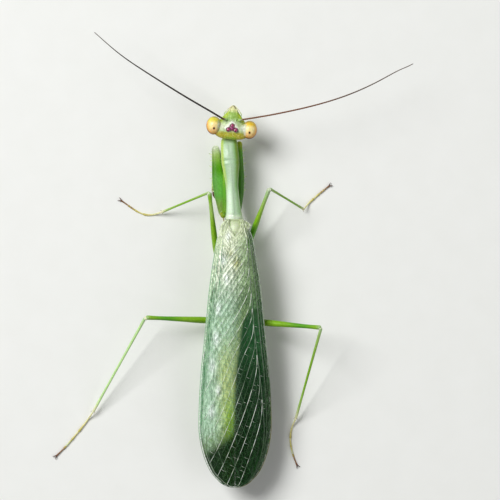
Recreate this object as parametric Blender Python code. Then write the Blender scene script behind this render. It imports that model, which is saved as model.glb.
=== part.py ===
"""A slender green leaf mantis, male, at rest with its wings folded, as a still model at life size.

All dimensions are millimetres in the animal's own frame: x to its left, y back from the mouth along the body,
z up from the floor. The model itself is in metres with +Z up, the head towards -Y, and its origin on the floor
under the middle of its bounding box. Wings, legs and feelers are at least THIN thick, and neighbouring pieces
are parted by a cut of GAP, so that every piece is a closed solid of its own.
"""
import math

import bmesh
import bpy
import numpy as np

MM = 0.001
GAP = 0.1
THIN = 0.5
MIDDLE = np.array([0.2, 13.8, 0.0])  # what the origin stands under, in the animal's own frame

BODY_LENGTH = 34.35  # mouth to wing tips
HEAD_LENGTH = 3.1
EYE_SPAN = 2.32  # from the middle of the head to the outside of an eye
EYE_LEAD = 0.055  # the left eye sits this much ahead of the line across the head, the right one behind it
HEAD_MIDDLE = np.array([0.3, 2.05, 3.35])  # the point between the two eyes
HEAD_TURN = math.radians(5.2)
HEAD_TILT = math.radians(8.0)
PRONOTUM_FRONT, PRONOTUM_BACK = 2.78, 10.25
PRONOTUM_RIM = 2.95
THORAX_TOP, THORAX_BOTTOM = 3.5, 1.5
ABDOMEN_END = 29.4
WING_REACH = 3.3  # half the width of the folded wings at their widest
WING_THICKNESS = 0.42
WING_PITCH = 0.52  # from one folded wing to the next above it
WING_ARCH = 0.6  # how far the outer edges hang below the middle
TIP_START = 28.5  # where the wings' outline starts to round in to the tips
FOOT_HEIGHT = 0.26

SIDES = {"left": 1, "right": -1}


# Materials -------------------------------------------------------------------------------------------------

def finish(name, colour, roughness=0.45, alpha=1.0):
    """One Principled material; colour is linear red, green, blue."""
    material = bpy.data.materials.new(name)
    material.use_nodes = True
    shader = material.node_tree.nodes["Principled BSDF"]
    shader.inputs["Base Color"].default_value = (*colour, 1.0)
    shader.inputs["Roughness"].default_value = roughness
    shader.inputs["Metallic"].default_value = 0.0
    shader.inputs["Alpha"].default_value = alpha
    return material


def make_finishes():
    return {
        "face": finish("pale_green_face", (0.38, 0.50, 0.14)),
        "eye": finish("cream_eye", (0.80, 0.52, 0.22), 0.2),
        "ocellus": finish("magenta_ocellus", (0.42, 0.05, 0.12), 0.15),
        "feeler": finish("dark_feeler", (0.06, 0.02, 0.012)),
        "shield": finish("silvery_shield", (0.50, 0.58, 0.42)),
        "trunk": finish("cream_green_trunk", (0.42, 0.50, 0.22)),
        "wing": finish("clear_wing", (0.50, 0.62, 0.48), 0.3, 0.6),
        "raptor": finish("leaf_green_foreleg", (0.10, 0.38, 0.04)),
        "leg": finish("lime_leg", (0.24, 0.44, 0.08)),
        "shin": finish("pale_shin", (0.42, 0.48, 0.28)),
        "foot": finish("tan_foot", (0.36, 0.26, 0.14)),
    }


# Tools -----------------------------------------------------------------------------------------------------

def through(stations, values, at):
    """Read a smooth curve through (station, value) pairs, which never swings past the values it joins."""
    s, v, at = (np.asarray(x, float) for x in (stations, values, at))
    step = np.diff(s).reshape(-1, *[1] * (v.ndim - 1))
    rise = np.diff(v, axis=0) / step
    same = rise[:-1] * rise[1:] > 0
    level = 2 * rise[:-1] * rise[1:] / np.where(same, rise[:-1] + rise[1:], 1.0)
    slope = np.concatenate([rise[:1], np.where(same, level, 0.0), rise[-1:]])
    i = np.clip(np.searchsorted(s, at, side="right") - 1, 0, len(s) - 2)
    u = ((at - s[i]) / (s[i + 1] - s[i])).reshape(*at.shape, *[1] * (v.ndim - 1))
    value = v[i] * (1 + 2 * u) * (1 - u) ** 2 + v[i + 1] * u**2 * (3 - 2 * u)
    return value + step[i] * u * (1 - u) * (slope[i] * (1 - u) - slope[i + 1] * u)


def unit(vector):
    return vector / np.linalg.norm(vector)


def new_piece(name, points, faces, material):
    """A mesh object from points in millimetres in the animal's own frame."""
    mesh = bpy.data.meshes.new(name)
    mesh.from_pydata(((np.asarray(points) - MIDDLE) * MM).tolist(), [], faces)
    shape = bmesh.new()
    shape.from_mesh(mesh)
    bmesh.ops.recalc_face_normals(shape, faces=shape.faces)
    shape.to_mesh(mesh)
    shape.free()
    mesh.shade_smooth()
    mesh.materials.append(material)
    piece = bpy.data.objects.new(name, mesh)
    bpy.context.scene.collection.objects.link(piece)
    return piece


def loft(name, rings, material):
    """Skin a row of rings, each with the same number of points, and close both ends."""
    rings = np.asarray(rings)
    rows, sides = rings.shape[:2]
    at = np.arange(rows * sides).reshape(rows, sides)
    after = np.roll(at, -1, axis=1)
    quads = np.stack([at[:-1], after[:-1], after[1:], at[1:]], axis=-1).reshape(-1, 4)
    faces = quads.tolist() + [at[0].tolist(), at[-1].tolist()]
    return new_piece(name, rings.reshape(-1, 3), faces, material)


def ellipse(middle, across, along, sides, square=1.0):
    """A ring of points round middle; square under 1 fills its corners."""
    turn = 2 * np.pi * (np.arange(sides) + 0.5) / sides
    c, s = np.cos(turn), np.sin(turn)
    reach_c = (np.sign(c) * np.abs(c) ** square)[:, None]
    reach_s = (np.sign(s) * np.abs(s) ** square)[:, None]
    return middle + reach_c * across + reach_s * along


def grown(piece, gap):
    """A hidden cutter: the piece's own shape, swollen by gap all over."""
    mesh = piece.data.copy()
    shape = bmesh.new()
    shape.from_mesh(mesh)
    shape.normal_update()
    shifts = [v.normal * gap * MM for v in shape.verts]
    for vertex, shift in zip(shape.verts, shifts):
        vertex.co += shift
    shape.to_mesh(mesh)
    shape.free()
    cutter = bpy.data.objects.new("room_for_" + piece.name, mesh)
    bpy.context.scene.collection.objects.link(cutter)
    cutter.hide_render = True
    cutter.display_type = "WIRE"
    return cutter


def leave_room(piece, *neighbours, gap=GAP):
    """Cut a piece back so that it stays clear of its neighbours."""
    for neighbour in neighbours:
        cut = piece.modifiers.new("room_for_" + neighbour.name, "BOOLEAN")
        cut.operation = "DIFFERENCE"
        cut.solver = "EXACT"
        cut.object = grown(neighbour, gap)


# Head ------------------------------------------------------------------------------------------------------

def head_axes():
    """The head's own directions: to its left, towards the mouth, and out of the face."""
    turn, tilt = HEAD_TURN, HEAD_TILT
    left = np.array([math.cos(turn), -math.sin(turn), 0.0])
    ahead = np.array([-math.sin(turn) * math.cos(tilt), -math.cos(turn) * math.cos(tilt), -math.sin(tilt)])
    return left, ahead, np.cross(left, ahead) * -1.0


def on_head(aside, ahead, out):
    """A point given in the head's own frame, from the point between the eyes."""
    left, forward, face = head_axes()
    return HEAD_MIDDLE + aside * left + ahead * forward + out * face


def head_rings(stations, sides=16):
    """Rings of the head's flattened wedge; a station is measured forward from between the eyes."""
    left, _, face = head_axes()
    back, front = -1.05, HEAD_LENGTH - 1.05
    marks = (back, -0.85, -0.4, 0.1, 0.6, 1.0, 1.35, 1.75, front)
    widths = through(marks, (0.9, 1.45, 1.68, 1.6, 1.25, 0.95, 0.72, 0.42, 0.16), stations)
    tops = through(marks, (0.12, 0.36, 0.58, 0.62, 0.55, 0.46, 0.38, 0.26, 0.1), stations)
    backs = through(marks, (-0.08, -0.3, -0.6, -0.65, -0.58, -0.5, -0.46, -0.38, -0.2), stations)
    rings = []
    for station, wide, top, under in zip(stations, widths, tops, backs):
        middle = on_head(0.0, station, (top + under) / 2)
        rings.append(ellipse(middle, wide * left, (top - under) / 2 * face, sides, square=0.8))
    return rings


def ball(name, middle, radii, axes, material, rows=12, sides=16):
    """An ellipsoid with its own axes, closed at both poles."""
    tilts = np.pi * (np.arange(rows) + 0.5) / rows
    rings = [
        ellipse(middle + radii[2] * math.cos(t) * axes[2],
                radii[0] * math.sin(t) * axes[0], radii[1] * math.sin(t) * axes[1], sides)
        for t in tilts
    ]
    return loft(name, rings, material)


def make_head(look):
    axes = head_axes()
    mouth_cut = 1.4
    capsule = loft("head_capsule", head_rings(np.linspace(-1.05, mouth_cut, 12)), look["face"])
    loft("mouthparts", head_rings(np.linspace(mouth_cut + GAP, HEAD_LENGTH - 1.05, 5)), look["face"])
    for side, sign in SIDES.items():
        radii = (0.71, 0.85, 0.8)
        middle = on_head(sign * (EYE_SPAN - radii[0]), 0.02 + EYE_LEAD * sign, 0.02)
        eye = ball("eye_" + side, middle, radii, (axes[0], axes[1], axes[2]), look["eye"])
        leave_room(capsule, eye, gap=0.05)
    ocelli = {"median": (0.0, 0.12), "left": (0.33, -0.25), "right": (-0.33, -0.25)}
    for name, (aside, ahead) in ocelli.items():
        dome = ball("ocellus_" + name, on_head(aside, ahead, 0.66), (0.17, 0.17, 0.12), axes,
                    look["ocellus"], rows=6, sides=10)
        leave_room(capsule, dome, gap=0.04)
    return capsule


def make_antennae(look):
    """Thread-like feelers: a curve with a round section, bowed forward and lifted in the middle."""
    routes = {
        "left": ((0.93, 1.3, 4.2), (4.2, -0.6, 4.6), (7.8, -2.8, 5.0), (10.4, -4.6, 5.1), (12.65, -6.55, 4.9)),
        "right": ((-0.73, 1.32, 4.2), (-5.9, 0.35, 4.8), (-10.9, -1.15, 5.0), (-14.3, -2.9, 4.9), (-16.0, -3.7, 4.7)),
    }
    for side, route in routes.items():
        steps = np.linspace(0, len(route) - 1, 26)
        points = (through(range(len(route)), route, steps) - MIDDLE) * MM
        curve = bpy.data.curves.new("antenna_" + side, "CURVE")
        curve.dimensions = "3D"
        curve.bevel_depth = THIN / 2 * MM
        curve.bevel_resolution = 1
        curve.use_fill_caps = True
        thread = curve.splines.new("POLY")
        thread.points.add(len(points) - 1)
        for spot, place in zip(thread.points, points):
            spot.co = (*place, 1.0)
        curve.materials.append(look["feeler"])
        bpy.context.scene.collection.objects.link(bpy.data.objects.new("antenna_" + side, curve))


# Trunk -----------------------------------------------------------------------------------------------------

def pronotum_middle(y):
    """The front of the body leans a few degrees to the left of the line of the wings."""
    return 0.54 - 0.065 * (np.asarray(y) - 3.12)


def pronotum_width(y):
    """Half the shield's width: full over the front hips, waisted, and flared at the back."""
    marks = (PRONOTUM_FRONT, 2.95, 3.3, 4.1, 5.0, 6.0, 7.2, 8.5, 9.7, PRONOTUM_BACK)
    return through(marks, (0.36, 0.6, 0.75, 0.79, 0.83, 0.71, 0.565, 0.6, 0.71, 0.8), y)


def pronotum_rim(y):
    """The height of the shield's lower edge, which dips at the neck."""
    return through((PRONOTUM_FRONT, 3.4, 4.4, PRONOTUM_BACK), (2.45, 2.7, PRONOTUM_RIM, PRONOTUM_RIM), y)


def make_pronotum(look):
    """The saddle-shaped shield on the front of the body: an arch with a keel, on a flat base."""
    stations = np.concatenate([[PRONOTUM_FRONT, 2.92, 3.15], np.linspace(3.5, PRONOTUM_BACK, 12)])
    crown = through((2.78, 3.15, 3.7, 4.6, 6.5, 10.25), (2.72, 2.9, 3.2, 3.42, 3.42, 3.5), stations)
    rim = pronotum_rim(stations)
    turn = np.linspace(0, np.pi, 11)
    rings = []
    for y, wide, top, low in zip(stations, pronotum_width(stations), crown, rim):
        x = pronotum_middle(y) + wide * np.cos(turn)
        z = low + 0.06 + (top - low) * np.sin(turn) ** 0.9
        foot = [[x[-1], y, low], [x[0], y, low]]
        rings.append(np.vstack([np.column_stack([x, np.full_like(x, y), z]), foot]))
    return loft("pronotum", rings, look["shield"])


def trunk_piece(name, stations, middles, widths, lows, highs, look, sides=14):
    """A length of the trunk from upright oval rings."""
    rings = []
    for y, x, wide, low, high in zip(stations, middles, widths, lows, highs):
        middle = np.array([x, y, (low + high) / 2])
        rings.append(ellipse(middle, np.array([wide, 0, 0]), np.array([0, 0, (high - low) / 2]), sides, 0.85))
    return loft(name, rings, look["trunk"])


def wing_floor(y):
    """The height that the folded wings lie at: level over the thorax, then sloping down to the tips."""
    return through((10.0, 13.0, 18.0, 24.0, 30.0, 34.4), (3.62, 3.62, 3.56, 3.32, 3.0, 2.72), y)


def make_trunk(look):
    y = np.array([2.95, 3.1, 3.6, 4.6, 5.6, 6.8, 8.2, 9.4, 10.2])
    low = through((2.95, 3.6, 5.0, 8.0, 10.2), (2.3, 2.22, 2.22, 2.2, 2.05), y)
    high = pronotum_rim(y) - GAP
    prothorax = trunk_piece("prothorax", y, pronotum_middle(y), 0.84 * pronotum_width(y), low, high, look)

    y = np.array([10.35, 10.5, 11.0, 12.0, 13.2, 14.0, 14.2])
    wide = through((10.35, 11.0, 13.0, 14.2), (0.6, 0.85, 1.0, 0.96), y)
    low = through((10.35, 10.7, 11.2, 14.2), (1.85, 1.65, 1.55, THORAX_BOTTOM), y)
    high = through((10.35, 10.7, 11.2, 14.2), (3.3, 3.44, THORAX_TOP, THORAX_TOP), y)
    mesothorax = trunk_piece("mesothorax", y, 0 * y, wide, low, high, look)

    y = np.linspace(14.3, 18.3, 6)
    wide = through((14.3, 16.0, 18.3), (0.97, 1.0, 0.95), y)
    metathorax = trunk_piece("metathorax", y, 0 * y, wide, 0 * y + THORAX_BOTTOM, 0 * y + 3.42, look)

    y = np.concatenate([np.linspace(18.4, 27.0, 8), [28.2, 29.0, ABDOMEN_END]])
    middle = through((18.4, 23.0, ABDOMEN_END), (0.0, 0.3, 0.55), y)
    wide = through((18.4, 22.0, 27.0, 28.5, ABDOMEN_END), (0.93, 0.98, 0.92, 0.7, 0.32), y)
    arch = WING_ARCH * ((middle + wide) / WING_REACH) ** 2
    high = wing_floor(y) - arch - GAP - through((18.4, 28.0, ABDOMEN_END), (0.0, 0.0, 0.35), y)
    low = through((18.4, 24.0, 28.0, ABDOMEN_END), (1.6, 1.45, 1.55, 2.0), y)
    trunk_piece("abdomen", y, middle, wide, low, high, look)
    for side, sign in SIDES.items():
        start = np.array([0.55 + 0.32 * sign, ABDOMEN_END + 0.12, 2.2])
        limb("cercus_" + side, start, start + np.array([0.3 * sign, 1.5, 0.1]), (0.26, 0.27, 0.25), look["leg"])
    return prothorax, mesothorax, metathorax


def make_neck(look, capsule, pronotum, prothorax):
    neck = limb("neck", np.array([0.5, 3.3, 2.5]), np.array([0.34, 1.9, 2.72]), (0.34, 0.36, 0.3), look["trunk"])
    leave_room(neck, capsule, gap=0.05)
    leave_room(pronotum, neck, gap=0.05)
    leave_room(prothorax, neck, gap=0.05)


# Wings -----------------------------------------------------------------------------------------------------

def wing_edges(stations, inner_marks, inner_reach, tip):
    """Outer and inner edge of one folded wing, measured out from the body's middle towards its own side."""
    marks = (10.4, 10.9, 12.6, 14.25, 16.6, 19.0, 21.9, 24.0, 26.2, TIP_START)
    reach = (1.0, 1.42, 1.71, 2.0, 2.33, 2.56, 2.85, 3.08, 3.22, WING_REACH)
    straight = np.minimum(stations, TIP_START)
    outer = through(marks, reach, straight)
    inner = through(inner_marks, inner_reach, straight)
    past = np.clip((stations - TIP_START) / (tip[1] - TIP_START), 0.0, 1.0)
    rounding = np.sqrt(1.0 - past**2)
    return tip[0] + (outer - tip[0]) * rounding, tip[0] + (inner - tip[0]) * rounding


def wing(name, sign, outer, inner, stations, layer, look, columns=7):
    """A folded wing: an arched sheet whose thickness hangs below it."""
    across = np.linspace(0, 1, columns)
    x = sign * (inner[:, None] + (outer - inner)[:, None] * across)
    y = np.repeat(stations[:, None], columns, axis=1)
    z = wing_floor(y) + WING_THICKNESS + layer * WING_PITCH - WING_ARCH * (x / WING_REACH) ** 2
    rows = len(stations)
    at = np.arange(rows * columns).reshape(rows, columns)
    quads = np.stack([at[:-1, :-1], at[:-1, 1:], at[1:, 1:], at[1:, :-1]], axis=-1).reshape(-1, 4)
    sheet = new_piece(name, np.stack([x, y, z], axis=-1).reshape(-1, 3), quads.tolist(), look["wing"])
    if sheet.data.polygons[0].normal.z < 0:
        sheet.data.flip_normals()
    plate = sheet.modifiers.new("thickness", "SOLIDIFY")
    plate.thickness = WING_THICKNESS * MM
    plate.offset = -1.0
    return sheet


def wing_stations(start, end, count):
    """Rows along a wing, closer together towards its tip."""
    return start + (end - start) * np.sin(np.linspace(0, np.pi / 2 * 0.985, count))


def make_wings(look):
    """Two fore wings that cross over each other, the right one on top, and two hind wings side by side."""
    inner_marks = (10.4, 11.2, 11.8, 14.0, 16.6, 20.0, 23.0, 26.2, TIP_START)
    inner_reach = (0.75, 0.35, 0.0, -0.8, -1.45, -1.95, -2.35, -2.75, -3.0)
    fore = wing_stations(10.45, BODY_LENGTH, 22)
    for side, layer in (("left", 1), ("right", 2)):
        outer, inner = wing_edges(fore, inner_marks, inner_reach, (0.2, BODY_LENGTH + 0.02))
        wing("forewing_" + side, SIDES[side], outer, inner, fore, layer, look)
    hind = wing_stations(12.2, BODY_LENGTH - 0.7, 20)
    for side, sign in SIDES.items():
        outer, _ = wing_edges(hind, inner_marks, inner_reach, (0.3, BODY_LENGTH - 0.6))
        wing("hindwing_" + side, sign, np.maximum(outer - 0.3, 0.3), 0 * hind + GAP / 2, hind, 0, look, columns=4)


# Legs ------------------------------------------------------------------------------------------------------

def limb(name, start, end, widths, material, heights=None, sides=8, lowest=None):
    """A straight limb from start to end with round ends; widths and heights are read along its length."""
    heights = heights or widths
    length = np.linalg.norm(end - start)
    ahead = unit(end - start)
    across = unit(np.cross(ahead, (0.0, 0.0, 1.0)))
    up = np.cross(across, ahead)
    first, last = widths[0], widths[-1]
    distances = np.concatenate([
        [0.04 * first, 0.4 * first, first], np.linspace(first, length - last, 5)[1:-1],
        [length - last, length - 0.4 * last, length - 0.04 * last],
    ])
    marks = np.linspace(0, length, len(widths))
    wide, high = through(marks, widths, distances), through(marks, heights, distances)
    from_end = np.minimum(distances / first, (length - distances) / last)
    rounding = np.sqrt(1.0 - (1.0 - np.clip(from_end, 0, 1)) ** 2)
    rings = [ellipse(start + d * ahead, w * k * across, h * k * up, sides)
             for d, w, h, k in zip(distances, wide, high, rounding)]
    rings = np.asarray(rings)
    if lowest is not None:
        rings[..., 2] = np.maximum(rings[..., 2], lowest)
    return loft(name, rings, material)


def foot(name, ankle, route, material, clear, sides=8):
    """A walking foot: a rod along the floor with a flat sole, from clear of the ankle to its claws."""
    marks = np.vstack([ankle, route])
    reach = np.concatenate([[0], np.cumsum(np.linalg.norm(np.diff(marks, axis=0), axis=1))])
    along = np.linspace(clear, reach[-1], 9)
    middles = through(reach, marks, along)
    tangents = np.gradient(middles, axis=0)
    tangents[:, 2] = 0
    rings = []
    for i, (middle, tangent) in enumerate(zip(middles, tangents)):
        across = unit(np.cross(tangent, (0.0, 0.0, 1.0)))
        size = 0.6 if i in (0, len(along) - 1) else 1.0
        rings.append(ellipse(middle, across * THIN / 2 * size, np.array([0, 0, 0.3 * size]), sides))
    rings = np.asarray(rings)
    rings[..., 2] = np.maximum(rings[..., 2], 0.0)
    return loft(name, rings, material)


def past(joint, towards, distance):
    """The point that lies a distance from a joint on the way to the next one."""
    return joint + unit(towards - joint) * distance


def walking_leg(pair, side, joints, hip_size, thigh, look):
    """Coxa, femur, tibia and tarsus; each starts clear of the round end of the one before."""
    socket, hip, knee, ankle, *toes = (np.array(j) for j in joints)
    shin = THIN / 2
    end = past(hip, socket, -hip_size[-1])
    coxa = limb(f"coxa_{pair}_{side}", socket, end, hip_size, look["leg"])
    start = past(hip, knee, hip_size[-1] + GAP)
    femur = limb(f"femur_{pair}_{side}", start, past(knee, hip, -thigh[-1]), thigh, look["leg"])
    leave_room(coxa, femur, gap=0.05)
    start = past(knee, ankle, thigh[-1] + GAP)
    limb(f"tibia_{pair}_{side}", start, past(ankle, knee, -shin), (shin, shin, shin), look["shin"])
    foot(f"tarsus_{pair}_{side}", ankle, np.array(toes), look["foot"], shin + GAP)
    return coxa


def make_walking_legs(look, mesothorax, metathorax):
    low = FOOT_HEIGHT
    middle = {
        "left": ((0.5, 12.4, 1.45), (1.65, 13.75, 1.1), (2.3, 7.85, 3.6), (6.57, 9.6, 0.5),
                 (8.28, 9.87, low), (9.63, 8.97, low), (10.5, 8.4, low)),
        "right": ((-0.4, 11.9, 1.45), (-0.95, 13.15, 1.1), (-3.1, 7.5, 4.3), (-6.2, 9.35, 0.5),
                  (-6.9, 8.55, low), (-7.8, 7.75, low), (-8.75, 7.1, low)),
    }
    hind = {
        "left": ((0.47, 15.8, 1.45), (0.5, 19.45, 0.98), (8.06, 19.1, 3.3), (12.78, 27.6, 0.5),
                 (13.8, 29.0, low), (14.8, 30.3, low), (16.4, 31.8, low)),
        "right": ((-0.47, 15.8, 1.45), (-0.72, 19.4, 0.98), (-7.74, 20.0, 5.2), (-5.49, 28.2, 0.5),
                  (-5.05, 29.4, low), (-4.95, 30.5, low), (-5.75, 32.7, low)),
    }
    for side in SIDES:
        coxa = walking_leg("middle", side, middle[side], (0.4, 0.38, 0.3), (0.27, 0.28, 0.26, 0.26), look)
        leave_room(mesothorax, coxa)
        coxa = walking_leg("hind", side, hind[side], (0.4, 0.4, 0.32), (0.3, 0.32, 0.29, 0.26), look)
        leave_room(metathorax, coxa)


def make_forelegs(look, prothorax):
    """The catching legs, folded under the front of the body: coxa back, femur forward, tibia back again."""
    poses = {
        "left": {"coxa": ((0.75, 4.9, 1.85), (0.9, 9.8, 1.6)), "femur": ((1.22, 9.9, 1.05), (1.78, 3.6, 1.15)),
                 "tibia": ((1.88, 3.75, 0.52), (2.0, 7.8, 0.5)), "tarsus": ((1.7, 7.95, 0.42), (0.95, 10.6, 0.34))},
        "right": {"coxa": ((0.05, 4.9, 1.85), (-0.12, 9.8, 1.8)), "femur": ((-0.42, 9.95, 1.1), (-0.45, 3.2, 1.12)),
                  "tibia": ((-0.55, 3.35, 0.52), (-0.75, 7.4, 0.5)), "tarsus": ((-0.6, 7.6, 0.42), (0.0, 10.3, 0.34))},
    }
    for side, pose in poses.items():
        ends = {segment: (np.array(a), np.array(b)) for segment, (a, b) in pose.items()}
        coxa = limb(f"coxa_front_{side}", *ends["coxa"], (0.32, 0.32, 0.28, 0.3), look["raptor"])
        leave_room(prothorax, coxa, gap=0.05)
        limb(f"femur_front_{side}", *ends["femur"], (0.22, 0.44, 0.55, 0.52, 0.42, 0.33), look["raptor"],
             heights=(0.22, 0.28, 0.3, 0.3, 0.3, 0.28), sides=10)
        limb(f"tibia_front_{side}", *ends["tibia"], (0.25, 0.25, 0.22), look["raptor"])
        limb(f"tarsus_front_{side}", *ends["tarsus"], (0.25, 0.25, 0.24), look["foot"],
             heights=(0.2, 0.2, 0.2))


# Assembly --------------------------------------------------------------------------------------------------

def main():
    for old in list(bpy.data.objects):
        bpy.data.objects.remove(old)
    look = make_finishes()
    capsule = make_head(look)
    make_antennae(look)
    pronotum = make_pronotum(look)
    prothorax, mesothorax, metathorax = make_trunk(look)
    make_neck(look, capsule, pronotum, prothorax)
    make_wings(look)
    make_walking_legs(look, mesothorax, metathorax)
    make_forelegs(look, prothorax)


main()
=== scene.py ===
# %% [markdown]
# # A slender leaf mantis, life size
#
# The animal is an adult male, 34 mm from mouth to wing tips, standing still with its wings folded. The
# solids that carry it, their sizes and their places come from the frame. This lesson puts the real
# surface on them: thin legs, a plated trunk, faceted eyes and wings of clear membrane held by a net of
# veins.
#
# The first lines load the frame. Everything else is measured from it.

# %% Load the frame
import math

import bmesh
import bpy
import mathutils
import numpy as np
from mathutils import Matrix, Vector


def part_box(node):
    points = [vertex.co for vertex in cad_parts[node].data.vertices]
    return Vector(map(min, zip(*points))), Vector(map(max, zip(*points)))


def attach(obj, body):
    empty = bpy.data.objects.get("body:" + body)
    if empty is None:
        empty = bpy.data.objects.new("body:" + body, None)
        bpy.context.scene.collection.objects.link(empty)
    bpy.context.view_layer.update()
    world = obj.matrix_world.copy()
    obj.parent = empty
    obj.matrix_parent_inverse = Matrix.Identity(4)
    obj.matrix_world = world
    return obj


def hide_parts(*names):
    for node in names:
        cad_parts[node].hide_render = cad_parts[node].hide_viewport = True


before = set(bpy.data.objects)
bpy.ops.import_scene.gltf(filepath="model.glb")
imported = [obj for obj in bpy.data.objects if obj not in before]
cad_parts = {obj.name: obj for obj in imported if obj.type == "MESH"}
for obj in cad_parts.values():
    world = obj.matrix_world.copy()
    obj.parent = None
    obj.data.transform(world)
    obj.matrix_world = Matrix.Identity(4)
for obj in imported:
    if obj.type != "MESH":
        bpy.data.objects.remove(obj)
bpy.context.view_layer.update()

MM = 0.001

# %% [markdown]
# ## The animal's own measure
#
# The frame is in metres, with its origin on the floor. An insect is easier to describe in millimetres
# from its own landmarks: x to its left from the line where the hind wings meet, y back from the tip of
# the mouth, z up from the floor. `HOME` is where that measure starts in the frame, and it is read from
# the solids' boxes.

# %% Own measure
hind_left, hind_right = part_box("hindwing_left"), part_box("hindwing_right")
HOME = np.array([(hind_left[0].x + hind_right[1].x) / 2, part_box("mouthparts")[0].y, 0.0]) / MM
UP = np.array([0.0, 0.0, 1.0])
SIDES = {"left": 1, "right": -1}
dice = np.random.default_rng(34)
print("own measure starts at", HOME.round(2), "mm in the frame")

# %% [markdown]
# ## Reading the solids
#
# A leg's solid is thicker than the leg, but its middle line is the leg's own. Three readers take from a
# solid what the surface needs: its corners, the two ends of its long axis, and the middle line of a
# bent rod. A fourth cuts a solid across and tells how far it reaches each way, which gives the trunk
# its outline. Copying the numbers by hand would also work, but then the looks could drift away from the
# solids.

# %% Readers
def corners(node):
    """Every corner of a solid, in own millimetres."""
    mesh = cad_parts[node].data
    flat = np.empty(3 * len(mesh.vertices), np.float32)
    mesh.vertices.foreach_get("co", flat)
    return flat.reshape(-1, 3).astype(float) / MM - HOME


def long_axis(node, near):
    """The two ends of a straight solid, the one nearest to a point first.

    The axis is the direction in which the corners spread most, found as the first singular vector."""
    points = corners(node)
    middle = points.mean(axis=0)
    axis = np.linalg.svd(points - middle, full_matrices=False)[2][0]
    reach = (points - middle) @ axis
    ends = [middle + reach.min() * axis, middle + reach.max() * axis]
    return sorted(ends, key=lambda end: np.linalg.norm(end - near))


def middle_line(node, near, bends, shares=14):
    """A bent rod's middle line: its corners are sorted along its long axis and dealt into equal shares, and
    the mean of each share is one point. Polynomials of degree bends, the best fit to x, y and z, smooth
    them. The end nearest to a point comes first."""
    points = corners(node)
    start, end = long_axis(node, near)
    order = np.argsort(points @ (end - start))
    line = np.array([share.mean(axis=0) for share in np.array_split(points[order], shares)])
    t = np.linspace(0, 1, shares)
    return np.stack([np.polyval(np.polyfit(t, line[:, axis], bends), t) for axis in range(3)], axis=-1)


def reaches(node, stations):
    """Lowest and highest x and z of a solid where the planes y = station cut it, as (stations, 4).

    An edge whose ends lie on both sides of a plane crosses it at the share a / (a - b) of its length."""
    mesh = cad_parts[node].data
    pairs = np.empty(2 * len(mesh.edges), np.int32)
    mesh.edges.foreach_get("vertices", pairs)
    ends = corners(node)[pairs.reshape(-1, 2)]
    a = ends[None, :, 0, 1] - np.asarray(stations)[:, None]
    b = ends[None, :, 1, 1] - np.asarray(stations)[:, None]
    crossed = a * b < 0
    share = np.where(crossed, a / np.where(crossed, a - b, 1.0), 0.0)
    found = []
    for axis in (0, 2):
        at = ends[None, :, 0, axis] + share * (ends[None, :, 1, axis] - ends[None, :, 0, axis])
        found += [np.where(crossed, at, np.inf).min(axis=1), np.where(crossed, at, -np.inf).max(axis=1)]
    return np.stack(found, axis=-1)


print("abdomen at y = 24 mm reaches", reaches("abdomen", [24.0])[0].round(2))

# %% [markdown]
# ## Curves and closed tubes
#
# Nearly everything on an insect is a tube: a leg, a feeler, a vein, a spine, even the head. So one
# function turns rings of points into closed tubes, many at once, and another sets rings along a path.
# Profiles such as a thigh's thickness are a few values along its length, joined by a smooth curve that
# never swings past them.

# %% Curve and tube tools
def through(marks, values, at):
    """A smooth curve through (mark, value) pairs.

    Between two marks it is a cubic whose end slopes are the harmonic means of the neighbouring rises, and
    level where the rises change sign, so it keeps within the values it joins."""
    s, v, at = (np.asarray(x, float) for x in (marks, values, at))
    step = np.diff(s).reshape(-1, *[1] * (v.ndim - 1))
    rise = np.diff(v, axis=0) / step
    same = rise[:-1] * rise[1:] > 0
    mean = 2 * rise[:-1] * rise[1:] / np.where(same, rise[:-1] + rise[1:], 1.0)
    slope = np.concatenate([rise[:1], np.where(same, mean, 0.0), rise[-1:]])
    at = np.clip(at, s[0], s[-1])
    i = np.clip(np.searchsorted(s, at, side="right") - 1, 0, len(s) - 2)
    u = ((at - s[i]) / (s[i + 1] - s[i])).reshape(*at.shape, *[1] * (v.ndim - 1))
    value = v[i] * (1 + 2 * u) * (1 - u) ** 2 + v[i + 1] * u**2 * (3 - 2 * u)
    return value + step[i] * u * (1 - u) * (slope[i] * (1 - u) - slope[i + 1] * u)


def unit(vectors):
    """Vectors scaled to length one."""
    return vectors / np.linalg.norm(vectors, axis=-1, keepdims=True)


def ease(value, low, high):
    """0 below low, 1 above high, and the smooth step 3t² - 2t³ between them."""
    t = np.clip((value - low) / (high - low), 0.0, 1.0)
    return t * t * (3 - 2 * t)


def bell(distance, width):
    """exp(-(distance / width)²): 1 in the middle, and nearly 0 beyond twice the width."""
    return np.exp(-((distance / width) ** 2))


def angles(count, first=0):
    """Equal steps of angle once round a circle; first is where they start, as a share of a step."""
    return 2 * np.pi * (np.arange(count) + first) / count


def with_ends(values):
    """Values for the points of one closed tube: those of its rings, then one for each end's middle."""
    return np.vstack([values, values[0], values[-1]])


def even_path(points, count):
    """A smooth path through points, read at equal steps of its length."""
    length = np.concatenate([[0], np.cumsum(np.linalg.norm(np.diff(points, axis=0), axis=1))])
    return through(length, points, np.linspace(0, length[-1], count))


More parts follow.
